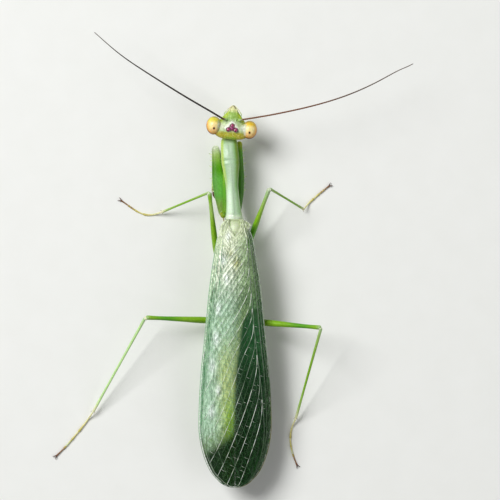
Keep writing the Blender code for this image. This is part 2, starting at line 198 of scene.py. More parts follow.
def tube_rings(path, wide, high, sides, hint=UP, lobes=None):
    """Rings along paths: each ring is cos·wide across the path and sin·high up from it.

    path is (..., rows, 3), and wide and high fit (..., rows). lobes(turn) swells a ring by its angle."""
    ahead = unit(np.gradient(path, axis=-2))
    across = unit(np.cross(ahead, hint))
    over = np.cross(across, ahead)
    turn = angles(sides)
    swell = 1.0 if lobes is None else lobes(turn)[:, None]
    wide = np.broadcast_to(wide, path.shape[:-1])[..., None, None]
    high = np.broadcast_to(high, path.shape[:-1])[..., None, None]
    flat = np.cos(turn)[:, None] * wide * across[..., None, :]
    flat = flat + np.sin(turn)[:, None] * high * over[..., None, :]
    return path[..., None, :] + flat * swell


def close_rings(rings):
    """Points and faces of closed tubes from rings shaped (tubes, rows, sides, 3).

    Squares join each ring to the next, and a fan of triangles closes each end on the ring's middle."""
    tubes, rows, sides = rings.shape[:3]
    points = np.concatenate([rings.reshape(tubes, -1, 3), rings[:, [0, -1]].mean(axis=2)], axis=1)
    ring = np.arange(rows * sides).reshape(rows, sides)
    after = np.roll(ring, -1, axis=1)
    squares = np.stack([ring[:-1], ring[1:], after[1:], after[:-1]], axis=-1).reshape(-1, 4)
    first = np.stack([np.full(sides, rows * sides), ring[0], after[0]], axis=-1)
    last = np.stack([np.full(sides, rows * sides + 1), after[-1], ring[-1]], axis=-1)
    shift = np.arange(tubes)[:, None, None] * points.shape[1]
    squares = (squares + shift).reshape(-1, 4)
    fans = (np.concatenate([first, last]) + shift).reshape(-1, 3)
    return points.reshape(-1, 3), squares, fans


# %% [markdown]
# ## From arrays to meshes
#
# A shell is a closed surface with a colour at every point. `make_mesh` hands the arrays to Blender. It
# first adds up the volume under every face, with its sign: a negative sum means that the faces point
# inwards, and then they are all turned round. Colours are written as the hex values of a paint card and
# turned to light values by one function.

# %% Mesh and colour tools
def hue(code):
    """The linear colour of an sRGB hex value: c / 12.92 when dark, else ((c + 0.055) / 1.055) ** 2.4."""
    value = np.array([int(code[i:i + 2], 16) for i in (1, 3, 5)]) / 255
    return np.where(value <= 0.04045, value / 12.92, ((value + 0.055) / 1.055) ** 2.4)


def mix(first, second, share):
    """first where share is 0, second where it is 1."""
    share = np.asarray(share)[..., None]
    return first * (1 - share) + second * share


def make_mesh(name, points, squares, fans, paint=None, gloss=None, cover=None):
    """A mesh in own millimetres, its faces turned outwards.

    Each point may carry its colour, its roughness, and the share of what lies below that it covers."""
    triangles = np.concatenate([squares[:, [0, 1, 2]], squares[:, [0, 2, 3]], fans])
    a, b, c = (points[triangles[:, i]] for i in range(3))
    if np.einsum("ij,ij->", a, np.cross(b, c)) < 0:
        squares, fans = squares[:, ::-1], fans[:, ::-1]
    mesh = bpy.data.meshes.new(name)
    mesh.from_pydata(points.tolist(), [], squares.tolist() + fans.tolist())
    if paint is not None:
        colour = np.concatenate([np.broadcast_to(paint, points.shape), np.ones((len(points), 1))], axis=1)
        layer = mesh.color_attributes.new("paint", "FLOAT_COLOR", "POINT")
        layer.data.foreach_set("color", colour.ravel())
    for name, value in (("rough", gloss), ("cover", cover)):
        if value is not None:
            value = np.broadcast_to(value, len(points)).astype(np.float32)
            mesh.attributes.new(name, "FLOAT", "POINT").data.foreach_set("value", value)
    return mesh


def to_frame(mesh):
    """Move a mesh from own millimetres to its place in the frame, in metres."""
    flat = np.empty(3 * len(mesh.vertices), np.float32)
    mesh.vertices.foreach_get("co", flat)
    mesh.vertices.foreach_set("co", ((flat.reshape(-1, 3) + HOME) * MM).ravel())
    mesh.update()


def show(name, mesh, material, slot, *nodes, crease=40):
    """Put a finished mesh in the scene as a piece that rides on the animal and stands for some solids."""
    to_frame(mesh)
    mesh.shade_smooth()
    mesh.set_sharp_from_angle(angle=math.radians(crease))
    mesh.materials.clear()
    mesh.materials.append(material)
    piece = bpy.data.objects.new(name, mesh)
    bpy.context.scene.collection.objects.link(piece)
    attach(piece, "root")
    if nodes:
        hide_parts(*nodes)
    triangles = sum(len(face.vertices) - 2 for face in mesh.polygons)
    print(f"{name}: {len(mesh.vertices)} points, {triangles} triangles")


def weld(name, shells):
    """One skin from closed shells that reach into each other: their union, with what is inside cut away."""
    box = bpy.data.collections.new("shells_of_" + name)
    bpy.context.scene.collection.children.link(box)
    parts = [bpy.data.objects.new(f"{name}_{i}", shell) for i, shell in enumerate(shells)]
    bpy.context.scene.collection.objects.link(parts[0])
    for part in parts[1:]:
        box.objects.link(part)
    union = parts[0].modifiers.new("union", "BOOLEAN")
    union.operation, union.solver = "UNION", "MANIFOLD"
    union.operand_type, union.collection = "COLLECTION", box
    whole = parts[0].evaluated_get(bpy.context.evaluated_depsgraph_get())
    mesh = bpy.data.meshes.new_from_object(whole)
    for part in parts:
        bpy.data.objects.remove(part)
    bpy.data.collections.remove(box)
    return mesh

# %% [markdown]
# ## The paint card
#
# An insect's colour lies in and under its cuticle: green pigment, cream fat showing through, brown
# where the cuticle is tanned hard, as at claws and jaws. Tints that several pieces share have a name
# here, so that a leg and the trunk that carries it agree. Painting is done in coats, as on a model:
# each colour covers a share of the last one, and the share is a number or a pattern.

# %% Paint card
TINT = {name: hue(code) for name, code in {
    "milk": "#C9D4B4", "cream": "#D8D296", "ivory": "#DFDDB2", "straw": "#BDB050", "ochre": "#A98A1C",
    "mint": "#A3C288", "pale": "#96BA5A", "foam": "#B9DC94", "lime": "#7EAE1C", "leaf": "#549A10",
    "emerald": "#68B044", "moss": "#428400", "shade": "#4A8406", "sap": "#A0A81C", "tan": "#957446",
    "rust": "#6B3A1C", "brown": "#3D2314", "soot": "#1B120D",
}.items()}


def tint_of(paint):
    """A colour from a name on the card or a hex value; a colour that is ready stays as it is."""
    if not isinstance(paint, str):
        return paint
    return TINT[paint] if paint in TINT else hue(paint)


def coats(colour, *layers):
    """Coats of paint, each laid over the last: a layer is a colour and the share that it covers."""
    colour = tint_of(colour)
    for paint, share in layers:
        colour = mix(colour, tint_of(paint), share)
    return colour


def scale_of(names):
    """The colours of several names or hex values, to be spread along something."""
    return [tint_of(name) for name in names]


print(len(TINT), "tints")

# %% [markdown]
# ## The trunk
#
# The trunk is a chain of rings: a soft neck, the long first ring that carries the catching legs, two
# short rings that carry the other legs and the wings, and an abdomen of ten more. Each abdominal ring
# is a plate above and a plate below, and its hind edge laps over the next like a roof tile. One long
# tube holds it all: its outline is cut from the solids, and the plates, seams and folds are a relief
# added to its radius. A tube for each ring would leave cracks that a real insect doesn't have.

# %% Trunk outline
SKIN_DEPTH = 0.97  # the skin keeps this share of the solids' reach, so it lies just inside them
RING_EDGES = np.linspace(18.35, 28.95, 11)  # hind edges of the abdomen's plates, in own millimetres
TRUNK_START, TRUNK_END = 1.9, 29.42  # inside the head, and behind the last plate
TRUNK_ROWS, TRUNK_SIDES = 420, 56
trunk_cuts = {
    "neck": [2.6, 2.85], "prothorax": [3.3, 3.7, 4.3, 5.2, 6.4, 7.6, 8.8, 9.6, 10.1],
    "mesothorax": [10.6, 11.2, 12.2, 13.2, 14.0], "metathorax": [14.6, 15.6, 16.8, 18.1],
    "abdomen": [18.8, 20.0, 21.5, 23.0, 24.5, 26.0, 27.2, 28.2, 28.9, 29.3],
}


def trunk_outline(y):
    """Middle x, middle z, half width and half height of the trunk at each y, cut from five solids.

    The neck is as high as it is wide, and goes on in a straight line into the head."""
    marks = np.concatenate([trunk_cuts[node] for node in trunk_cuts])
    found = np.concatenate([reaches(node, trunk_cuts[node]) for node in trunk_cuts])
    found[:2, 3] = found[:2, 2] + found[:2, 1] - found[:2, 0]
    in_head = found[0] + (found[0] - found[1]) * (marks[0] - TRUNK_START) / (marks[1] - marks[0])
    spread = np.array([-0.1, 0.1, -0.1, 0.1])
    tail = found[-1, [0, 0, 2, 2]] * 0.6 + found[-1, [1, 1, 3, 3]] * 0.4 + spread
    marks = np.concatenate([[TRUNK_START], marks, [TRUNK_END]])
    low_x, high_x, low_z, high_z = through(marks, np.vstack([in_head, found, tail]), y).T
    half = SKIN_DEPTH / 2
    return (low_x + high_x) / 2, (low_z + high_z) / 2, half * (high_x - low_x), half * (high_z - low_z)


def trunk_relief(y, turn):
    """How far the skin stands out from the plain tube, in millimetres, at a place along and around it.

    Roof-tile plates: a rise that grows with the cube of the way along a ring, and drops at its hind edge.
    Seams: narrow bell-shaped dents. Back shields of the two winged rings: broad bell-shaped swellings."""
    over, aside = np.sin(turn), np.abs(np.cos(turn))
    ring = np.clip(np.searchsorted(RING_EDGES, y) - 1, 0, len(RING_EDGES) - 2)
    way = np.clip((y - RING_EDGES[ring]) / np.diff(RING_EDGES)[ring], 0, 1)
    tiles = np.where((y > RING_EDGES[0]) & (y < RING_EDGES[-1]), 0.05 * way**3 - 0.02, 0.0)
    fold = -0.05 * bell(over + 0.25, 0.12) * ease(y, 18.2, 19.0) * ease(-y, -29.0, -28.0)
    joints = sum(-depth * bell(y - at, wide) for at, depth, wide in
                 ((10.32, 0.12, 0.14), (14.25, 0.07, 0.08), (18.3, 0.06, 0.08), (2.95, 0.06, 0.2)))
    plates = sum(-0.04 * bell(y - at - 0.5 * over, 0.07) * ease(aside, 0.45, 0.8)
                 for at in (11.7, 12.9, 15.6, 16.9))
    shields = sum(0.1 * bell(y - at, 0.55) * ease(over, 0.75, 0.98) for at in (11.2, 15.0, 16.6))
    keel = 0.05 * bell(aside, 0.16) * (over < 0) * ease(y, 3.0, 4.0) * ease(-y, -18.0, -17.0)
    return tiles + fold + joints + plates + shields + keel


def trunk_paint(y, turn):
    """Cream between the wing roots, ochre on the last back shield, then yellow green to a lime tail."""
    over = np.sin(turn)
    top = through((1.9, 3.5, 10.3, 11.0, 13.4, 14.4, 15.8, 18.5, 22.0, 26.0, 29.4), scale_of(
        ("milk", "pale", "cream", "cream", "milk", "ochre", "milk", "mint", "sap", "sap", "lime")), y)
    side = through((1.9, 3.5, 10.3, 14.0, 18.5, 24.0, 29.4),
                   scale_of(("pale", "lime", "mint", "pale", "pale", "lime", "lime")), y)
    under = through((1.9, 10.0, 18.0, 29.4), scale_of(("pale", "pale", "mint", "pale")), y)
    near_edge = np.abs(y[..., None] - RING_EDGES).min(axis=-1)
    return coats(side, (top, ease(over, 0.5, 0.9)), (under, ease(-over, 0.1, 0.7)),
                 ("ivory", 0.45 * bell(near_edge, 0.09) * (y > 18.0)))


def trunk_shell():
    """Rings of cos·half width and sin·half height round the middle line, the relief added to both."""
    y, turn = np.meshgrid(np.linspace(TRUNK_START, TRUNK_END, TRUNK_ROWS), angles(TRUNK_SIDES),
                          indexing="ij")
    x, z, wide, high = trunk_outline(y[:, 0])
    relief = trunk_relief(y, turn)
    wide, high = wide[:, None] + relief, high[:, None] + relief
    flat = np.stack([np.cos(turn) * wide, 0 * y, np.sin(turn) * high], axis=-1)
    middle = np.stack([x, y[:, 0], z], axis=-1)[:, None]
    points, squares, fans = close_rings((middle + flat)[None])
    return make_mesh("trunk", points, squares, fans, with_ends(trunk_paint(y, turn).reshape(-1, 3)), 0.42)


trunk = trunk_shell()
print("trunk:", len(trunk.vertices), "points,", len(RING_EDGES) - 1, "abdominal rings")

# %% [markdown]
# ## The head's own directions
#
# A mantis carries its face almost level when it rests flat, so the face looks up and the mouth points
# ahead. The head is also turned a few degrees. All its parts are easier to place in the head's own
# directions, which come from the solids: left from one eye's middle to the other's, ahead towards the
# mouth, out of the face.

# %% Head directions
def box_middle(node):
    """The middle of a solid's box, in own millimetres."""
    low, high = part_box(node)
    return (np.array(low) + np.array(high)) / 2 / MM - HOME


EYE_MIDDLES = {side: box_middle(f"eye_{side}") for side in SIDES}
FACE_MIDDLE = (EYE_MIDDLES["left"] + EYE_MIDDLES["right"]) / 2
EYE_ASIDE = np.linalg.norm(EYE_MIDDLES["left"] - EYE_MIDDLES["right"]) / 2
EYE_LEAD = 0.034  # the left eye sits ahead of the right one, by this share of the distance between them
across_eyes = unit(EYE_MIDDLES["left"] - EYE_MIDDLES["right"])
to_mouth = box_middle("mouthparts") - FACE_MIDDLE
LEFT = unit(across_eyes - EYE_LEAD * unit(to_mouth - (to_mouth @ across_eyes) * across_eyes))
AHEAD = unit(to_mouth - (to_mouth @ LEFT) * LEFT)
OUT = np.cross(AHEAD, LEFT)
HEAD_AXES = np.stack([LEFT, AHEAD, OUT])
HEAD_FRONT = ((corners("mouthparts") - FACE_MIDDLE) @ AHEAD).max()
HEAD_BACK = ((corners("head_capsule") - FACE_MIDDLE) @ AHEAD).min()
EYE_SIZES = {side: np.abs((corners(f"eye_{side}") - EYE_MIDDLES[side]) @ HEAD_AXES.T).max(axis=0)
             for side in SIDES}


def on_head(places):
    """Own places from (aside, ahead, out) of the point between the eyes."""
    return FACE_MIDDLE + np.asarray(places, float) @ HEAD_AXES


print(f"head: {HEAD_FRONT - HEAD_BACK:.2f} mm long, eye middles {2 * EYE_ASIDE:.2f} mm apart")

# %% [markdown]
# ## The head capsule
#
# The capsule is a flat triangle with rounded corners. Its landmarks are what makes it a mantis: a mound
# that carries three simple eyes, a five-cornered shield between the feeler sockets, a step down to the
# lip, cheeks and jaws at the sides of the mouth, and seams beside the large eyes. The capsule is a tube
# along the head whose rings are ellipses. The landmarks are a height map over the face: bells for
# swellings, and dents along short lines for seams. Sculpting by hand would do the same, but a formula
# keeps both halves alike.

# %% Head capsule
def near_line(a, b, stops):
    """The least distance from each place (a, b) to a line through some stops."""
    stops = np.asarray(stops, float)
    start, step = stops[:-1], np.diff(stops, axis=0)
    place = np.stack([a, b], axis=-1)[..., None, :]
    share = np.clip(((place - start) * step).sum(-1) / (step**2).sum(-1), 0, 1)[..., None]
    return np.linalg.norm(place - start - share * step, axis=-1).min(axis=-1)


SHIELD = ((0.0, 0.3), (0.3, 0.42), (0.3, 0.66), (0.0, 0.74))
SOCKET = (0.5, 0.6)
SOCKET_SIZE = 0.16
MOUND = (0.0, -0.08)


def face_relief(a, b):
    """The height of the face above the plain capsule at (aside, ahead), the same on both halves."""
    a = np.abs(a)
    from_socket = np.hypot(a - SOCKET[0], b - SOCKET[1])
    rise = 0.1 * bell(np.hypot(a / 1.25, b - MOUND[1]), 0.36)
    rise += 0.06 * bell(np.hypot(a - 0.86, (b + 0.42) / 1.4), 0.2)
    rise += 0.055 * bell(from_socket - SOCKET_SIZE, 0.045) - 0.07 * bell(from_socket, 0.1)
    rise += 0.035 * bell(near_line(a, b, SHIELD), 0.035)
    rise += (0.06 * bell(np.hypot(a / 1.5, b - 1.02), 0.17)
             + 0.05 * bell(np.hypot(a, (b - 1.5) / 1.3), 0.16))
    rise += 0.08 * bell(np.hypot(a - 0.36, (b - 1.45) / 2.2), 0.12)
    rise += 0.05 * bell(near_line(a, b, ((0.95, 0.75), (0.7, 1.2))), 0.1)
    for depth, width, stops in (
        (0.03, 0.035, ((0.0, -0.42), (0.0, -1.0))), (0.035, 0.04, ((0.62, -0.95), (0.55, -0.3))),
        (0.04, 0.035, ((0.0, 0.84), (0.42, 0.84), (0.62, 0.98))),
        (0.045, 0.03, ((0.0, 1.28), (0.34, 1.24))),
        (0.04, 0.03, ((0.26, 1.26), (0.2, 1.9))), (0.03, 0.03, ((0.5, 0.9), (0.62, 1.5))),
    ):
        rise -= depth * bell(near_line(a, b, stops), width)
    return rise


def face_paint(a, b):
    """Pale green, cream at the mouth, lime cheeks, an ochre crown, magenta between the simple eyes."""
    wide = np.abs(a)
    # The pale inner corners beside the eyes; the right one's whiter tone is partly a painted reflection.
    halo = mix(hue("#C9CFB4"), hue("#E4EAE4"), (a * SIDES["right"] > 0).astype(float))
    stain = mix(hue("#6E1240"), hue("#C060A0"), bell(np.hypot(a, b + 0.15), 0.1))
    patch = ((0.0, 0.06), (0.24, -0.25), (0.0, -0.25), (0.0, 0.06))
    stained = ease(-near_line(wide, b, patch), -0.2, -0.1)
    jaws = bell(near_line(a, b, ((0.02, 2.02), (-0.22, 1.74))), 0.05)
    jaws = np.maximum(jaws, 0.5 * bell(near_line(a, b, ((0.05, 2.0), (0.16, 1.82))), 0.05))
    fleck = dice.normal(0, 1, a.shape)
    fleck = (fleck + np.roll(fleck, 1, axis=0) + np.roll(fleck, 2, axis=0)) / 1.7
    colour = coats(
        "mint",
        ("milk", 0.55 * bell(np.hypot(a, (b + 0.05) / 1.1), 0.7)),
        ("#86A45C", 0.7 * bell(np.hypot(a / 1.3, b - 0.5), 0.26)),
        ("pale", ease(b, 0.5, 0.85)),
        ("#A3BE1C", 0.95 * bell(near_line(wide, b, ((1.0, 0.5), (0.5, 1.25))), 0.2)),
        ("#E4E0A6", 0.85 * ease(b, 1.2, 1.65)),
        ("#BCC08A", 0.6 * bell(np.hypot(wide - 0.95, b + 0.02), 0.4)),
        (halo, 0.85 * bell(np.hypot(wide - 1.0, b + 0.05), 0.22)),
        ("#F1F0E6", 0.9 * bell(near_line(a, b, ((-0.52, -0.18), (0.0, 0.4), (0.52, -0.18))), 0.14)),
        ("#B0B034", ease(-b, 0.36, 0.62)),
        ("ochre", 0.35 * ease(-b, 0.45, 0.75) * ease(wide, 0.3, 0.9)),
        ("lime", 0.7 * ease(-b, 0.82, 1.0) * (1 - ease(wide, 0.3, 0.8))),
        ("#6B4A12", 0.6 * ease(-b, 0.6, 0.85) * ease(wide, 1.0, 1.4)),
        (stain, stained),
        ("brown", 0.9 * jaws),
        ("#EDEBC6", 0.35 * ease(fleck, 0.9, 1.9)))
    return colour * (1 + 0.07 * fleck[..., None])


HEAD_ROWS, HEAD_SIDES = 150, 168
HEAD_MARKS = (-1.08, -1.04, -0.95, -0.75, -0.4, 0.1, 0.6, 1.0, 1.35, 1.75, 2.05)
HEAD_WIDTHS = (0.3, 0.75, 1.15, 1.45, 1.5, 1.42, 1.18, 0.87, 0.6, 0.34, 0.14)
HEAD_TOPS = (0.06, 0.15, 0.28, 0.42, 0.58, 0.62, 0.55, 0.46, 0.38, 0.26, 0.1)
HEAD_BACKS = (-0.08, -0.16, -0.27, -0.42, -0.6, -0.65, -0.58, -0.5, -0.46, -0.38, -0.2)


def head_shell():
    """Ellipses along the head, set by its widths, tops and backs, with the face's relief added outwards."""
    slant = np.linspace(0.12, np.pi - 0.12, HEAD_ROWS)
    b = HEAD_BACK + (HEAD_FRONT - HEAD_BACK) * (1 - np.cos(slant)) / 2
    b, turn = np.meshgrid(b, angles(HEAD_SIDES, 0.5), indexing="ij")
    wide, top, under = (SKIN_DEPTH * through(HEAD_MARKS, v, b)
                        for v in (HEAD_WIDTHS, HEAD_TOPS, HEAD_BACKS))
    a, sin = wide * np.cos(turn), np.sin(turn)
    out = (top + under) / 2 + (top - under) / 2 * sin
    out = out + face_relief(a, b) * ease(sin, 0.0, 0.45) * SKIN_DEPTH
    points, squares, fans = close_rings(on_head(np.stack([a, b, out], axis=-1))[None])
    paint = coats("pale", ("sap", ease(-b, 0.2, 0.8)), (face_paint(a, b), ease(sin, -0.25, 0.15)))
    return make_mesh("head", points, squares, fans, with_ends(paint.reshape(-1, 3)), 0.36)


head = head_shell()
print("head:", len(head.vertices), "points")

# %% [markdown]
# ## Mouth parts and eye rims
#
# Beside the lip lie two pairs of small jointed feelers, the palps, with which the animal tastes its
# food. Each is a row of short beads on a bent line. Round each large eye the capsule rises into a rim.
# Both are tubes that reach into the capsule, and the welding at the end makes them grow out of it.

# %% Limb maker
def limb(path, wide, high=None, rows=44, sides=20, hint=UP, lobes=None, tints=("lime", "lime"),
         marks=None, rough=0.4, lean=0.0):
    """A closed limb along a path, with round ends, its colours spread along it.

    wide and high are half sizes at even shares of its length. Close to an end, at distance d from it, they
    shrink by the circle's rule, sqrt(1 - (1 - d / r)²), where r is the size at that end. lean is the share
    by which the colour pales towards -X and darkens towards +X."""
    wide = np.atleast_1d(wide)
    high = wide if high is None else np.atleast_1d(high)
    path = np.asarray(path, float)
    share = (1 - np.cos(np.linspace(0.05, np.pi - 0.05, rows))) / 2
    length = np.concatenate([[0], np.cumsum(np.linalg.norm(np.diff(path, axis=0), axis=1))])
    line = through(length, path, share * length[-1])
    across, over = (through(np.linspace(0, 1, len(v)), v, share) if len(v) > 1 else np.full(rows, v[0])
                    for v in (wide, high))
    from_end = np.minimum(share * length[-1] / across[0], (1 - share) * length[-1] / across[-1])
    rounding = np.sqrt(1 - (1 - np.clip(from_end, 0, 1)) ** 2)
    rings = tube_rings(line, across * rounding, over * rounding, sides, hint, lobes)
    points, squares, fans = close_rings(rings[None])
    marks = np.linspace(0, 1, len(tints)) if marks is None else marks
    aside = (rings - line[:, None])[..., 0] / across[:, None]
    colour = np.repeat(through(marks, scale_of(tints), share), sides, axis=0)
    # lean paints light and shade across the limb: paler towards -X, darker towards +X.
    colour = colour * (1 - lean * aside.reshape(-1, 1))
    return make_mesh("limb", points, squares, fans, with_ends(colour), rough)


def beads(path, cuts, radii, tints, overlap=0.25, **more):
    """Short limbs set end to end along a path, cut at shares of its length, each reaching into the next."""
    fine = even_path(np.asarray(path, float), 200)
    shells = []
    for i, (start, end) in enumerate(zip(cuts[:-1], cuts[1:])):
        reach = overlap * radii[i][-1] / np.linalg.norm(np.diff(fine, axis=0), axis=1).sum()
        first, last = (int(round(199 * np.clip(v, 0, 1))) for v in (start - reach, end + reach))
        stretch = fine[first:max(last, first + 3) + 1]
        shells.append(limb(stretch, radii[i], tints=tints[i], **more))
    return shells


def close_loop(rings):
    """Points and faces of a tube (rows, sides, 3) whose last ring is joined to its first."""
    ring = np.arange(rings.shape[0] * rings.shape[1]).reshape(rings.shape[:2])
    on, beside = np.roll(ring, -1, axis=0), np.roll(ring, -1, axis=1)
    squares = np.stack([ring, on, np.roll(on, -1, axis=1), beside], axis=-1).reshape(-1, 4)
    return rings.reshape(-1, 3), squares, np.empty((0, 3), int)


def hoop(line, wide, high, sides, hint):
    """A tube of one size whose middle line closes on itself."""
    line = np.vstack([line[-1:], line, line[:1]])
    return close_loop(tube_rings(line, wide, high, sides, hint)[1:-1])


# %% Mouth parts and eye rims
CIRCLE = angles(96)
RIM_ASIDE = 0.95
head_shells = [head]
for side, sign in SIDES.items():
    jaw_feeler = on_head([(0.62 * sign, 1.02, -0.1), (0.78 * sign, 1.2, 0.1), (0.62 * sign, 1.44, 0.2),
                          (0.38 * sign, 1.72, 0.24), (0.16 * sign, 1.95, 0.2)])
    head_shells += beads(jaw_feeler, (0, 0.24, 0.5, 0.76, 1.0),
                         ((0.04, 0.05), (0.042, 0.048), (0.038, 0.044), (0.034, 0.036, 0.024)),
                         (("lime", "mint"), ("mint", "ivory"), ("ivory", "ivory"), ("ivory", "ivory")),
                         rows=14, sides=12)
    lip_feeler = on_head([(0.2 * sign, 1.3, -0.42), (0.3 * sign, 1.65, -0.36), (0.18 * sign, 1.95, -0.2)])
    head_shells += beads(lip_feeler, (0, 0.35, 0.7, 1.0), ((0.055, 0.065), (0.05, 0.06), (0.045, 0.035)),
                         (("pale", "milk"), ("milk", "ivory"), ("ivory", "ivory")), rows=14, sides=12)
    inward = RIM_ASIDE - EYE_ASIDE
    size = EYE_SIZES[side] * math.sqrt(1 - (inward / EYE_SIZES[side][0]) ** 2)
    centre = EYE_MIDDLES[side] + sign * inward * LEFT
    rim = centre + np.cos(CIRCLE)[:, None] * size[1] * AHEAD + np.sin(CIRCLE)[:, None] * size[2] * OUT
    points, squares, fans = hoop(rim, 0.03, 0.045, 10, sign * LEFT)
    tint = mix(hue("#B8A638"), hue("#BDC48E"), ease((points - FACE_MIDDLE) @ OUT, -0.1, 0.4))
    head_shells.append(make_mesh("eye_rim", points, squares, fans, tint, 0.4))
print("head:", len(head_shells), "shells")

# %% [markdown]
# ## Walking legs
#
# A leg is a hip, a small ring, a thigh, a shin and a foot of five short pieces, and each joint is a
# knuckle slightly wider than what it joins. The solids give the lines: two neighbouring solids lie on
# lines that cross in the joint, so the joint is where their axes come closest. The leg itself is
# thinner than its solid. The thigh has long keels, which are a ripple of four waves round the tube, and
# it is thickest near the hip.

# %% Walking legs
def crossing(first, second):
    """The point midway between two lines, where they come closest to each other."""
    (a, b), (c, d) = first, second
    u, v, w = b - a, d - c, a - c
    uu, uv, vv, uw, vw = u @ u, u @ v, v @ v, u @ w, v @ w
    away = uu * vv - uv * uv
    return (a + (uv * vw - vv * uw) / away * u + c + (uu * vw - uv * uw) / away * v) / 2


def keels(turn):
    """Four long ridges, 6% high."""
    return 1 + 0.06 * np.cos(4 * turn)


THIGHS = {"middle": (0.17, 0.25, 0.25, 0.22, 0.18, 0.16, 0.2),
          "hind": (0.18, 0.27, 0.28, 0.24, 0.2, 0.17, 0.2)}
SHINS = {"middle": (0.12, 0.1, 0.09, 0.09, 0.115), "hind": (0.13, 0.115, 0.105, 0.1, 0.12)}
# The right middle thigh is darker towards the hip, where it lies in the shade of the wing: painted shade.
THIGH_TINTS = {"middle_left": ("pale", "lime", "lime", "pale", "lime", "mint"),
               "middle_right": ("leaf", "leaf", "lime", "pale", "mint", "milk")}
KNEE_SIZES, SPUR_SIZES = (0.15, 0.18, 0.13), (0.03, 0.022, 0.008)
FOOT_CUTS = (0.0, 0.44, 0.62, 0.75, 0.82, 1.0)
FOOT_SIZES = ((0.08, 0.07, 0.1), (0.07, 0.065, 0.095), (0.07, 0.065, 0.095), (0.065, 0.09),
              (0.06, 0.055, 0.085))
CLAW_LENGTH, CLAW_STEPS = 0.34, 9
claw_paths = []


def foot(node, ankle, tints):
    """Five beads from the ankle down to the floor and along it, then two hooked claws."""
    route = middle_line(node, ankle, 3)
    route = np.vstack([ankle, route[2:]])
    run = np.concatenate([[0], np.cumsum(np.linalg.norm(np.diff(route[:, :2], axis=0), axis=1))])
    route[:, 2] = through((0, 0.35, 0.9, run[-1]), (ankle[2], 0.26, 0.105, 0.095), run)
    route = even_path(route, 120)
    toe = unit(route[-1] - route[-6])
    end = int(120 * (1 - 0.75 * CLAW_LENGTH / run[-1]))
    beside = np.cross(UP, toe)
    t = np.linspace(0, 1, CLAW_STEPS)[:, None]
    for way in SIDES.values():
        claw_paths.append(route[end - 2] + t * CLAW_LENGTH * 0.85 * toe + way * (0.03 + 0.14 * t) * beside
                          + (0.09 * np.sin(np.pi * t) - 0.06 * t**2) * UP)
    return beads(route[:end], FOOT_CUTS, FOOT_SIZES, tints, rows=18, sides=14)


def walking_leg(pair, side):
    """Hip, ring, thigh, knuckles, shin, spurs and foot, as closed shells that reach into each other."""
    name = f"{pair}_{side}"
    body = np.array([0.0, 13.0 if pair == "middle" else 16.0, 2.5])
    hip_line = long_axis("coxa_" + name, body)
    thigh_line = long_axis("femur_" + name, hip_line[1])
    shin_line = long_axis("tibia_" + name, thigh_line[1])
    hip, knee = crossing(hip_line, thigh_line), crossing(thigh_line, shin_line)
    ankle = shin_line[1] + 0.25 * unit(shin_line[0] - shin_line[1])
    socket = hip_line[0] + 0.25 * unit(hip_line[0] - hip_line[1]) + 0.15 * UP
    shells = [
        limb([socket, hip], (0.34, 0.37, 0.33, 0.27), sides=24, tints=("pale", "lime", "pale")),
        limb([hip - 0.16 * unit(hip - socket), hip + 0.3 * unit(knee - hip)], (0.26, 0.27, 0.2),
             rows=20, sides=20, tints=("pale", "lime")),
        limb([hip, knee], THIGHS[pair], rows=70, sides=24, lobes=keels, rough=0.34,
             tints=THIGH_TINTS.get(name, ("lime", "lime", "lime", "leaf", "lime", "mint")),
             marks=(0, 0.3, 0.5, 0.75, 0.93, 1)),
        limb([knee - 0.16 * unit(knee - hip), knee + 0.2 * unit(ankle - knee)], KNEE_SIZES,
             rows=18, sides=18, tints=("milk", "ivory", "pale")),
        limb([knee, ankle], SHINS[pair], rows=60, sides=16, lobes=keels, marks=(0, 0.12, 0.5, 0.85, 1),
             tints=("mint", "foam", "foam", "foam", "ivory") if name == "hind_left" else
             ("mint", "pale", "lime", "pale", "ivory")),
    ]
    along = unit(ankle - knee)
    beside = unit(np.cross(along, UP))
    for way in SIDES.values():
        root = ankle - 0.12 * along + 0.07 * way * beside
        shells.append(limb([root, root + 0.3 * along + way * 0.14 * beside - 0.05 * UP], SPUR_SIZES,
                           rows=10, sides=8, tints=("ivory", "rust")))
    shells.append(limb([ankle - 0.07 * along, ankle + 0.08 * along], 0.115, rows=12, sides=14,
                       tints=("ivory", "straw")))
    third = ("straw", "milk" if pair == "hind" else "tan")
    return shells + foot("tarsus_" + name, ankle, (("ivory", "cream", "straw"), ("cream", "straw"), third,
                                                   ("straw", "tan"), ("tan", "rust")))


leg_shells = [shell for pair in ("middle", "hind") for side in SIDES for shell in walking_leg(pair, side)]
print("walking legs:", len(leg_shells), "shells")

# %% [markdown]
# ## Catching legs
#
# The front legs are the mantis's trap. Each is folded like a clasp knife under the shield: the long hip
# runs back, the thigh runs forward beside the shield with its flat side up, and the shin lies back
# against the thigh's spiny edge, with a hook at its end. The thigh's spines are long and short in turn.
# They are many like shapes, so they are made as arrays: all their roots, all their tips, and one curved
# cone between each pair.

# %% Catching legs
SPINE_ROWS, SPINE_SIDES = 7, 8


def spine_shells(roots, tips, size, tints):
    """Curved cones from roots to tips: the middle line is lifted by half a sine wave, and the radius falls
    with the square root of the way left."""
    share = np.linspace(0, 1, SPINE_ROWS)
    t = share[None, :, None]
    lines = roots[:, None] * (1 - t) + tips[:, None] * t + 0.08 * size * np.sin(np.pi * t) * UP
    radius = np.broadcast_to(size, (len(roots), SPINE_ROWS)) * np.sqrt(1.02 - share)
    points, squares, fans = close_rings(tube_rings(lines, radius, radius, SPINE_SIDES))
    colour = through(np.linspace(0, 1, len(tints)), scale_of(tints), share)
    colour = np.tile(with_ends(np.repeat(colour, SPINE_SIDES, axis=0)), (len(roots), 1))
    return make_mesh("spines", points, squares, fans, colour, 0.35)


def blade(turn):
    """A thigh's section: an ellipse with its lower half drawn in, so that its upper face is the fuller."""
    return 1 - 0.12 * np.clip(-np.sin(turn), 0, 1) + 0.04 * np.cos(2 * turn)


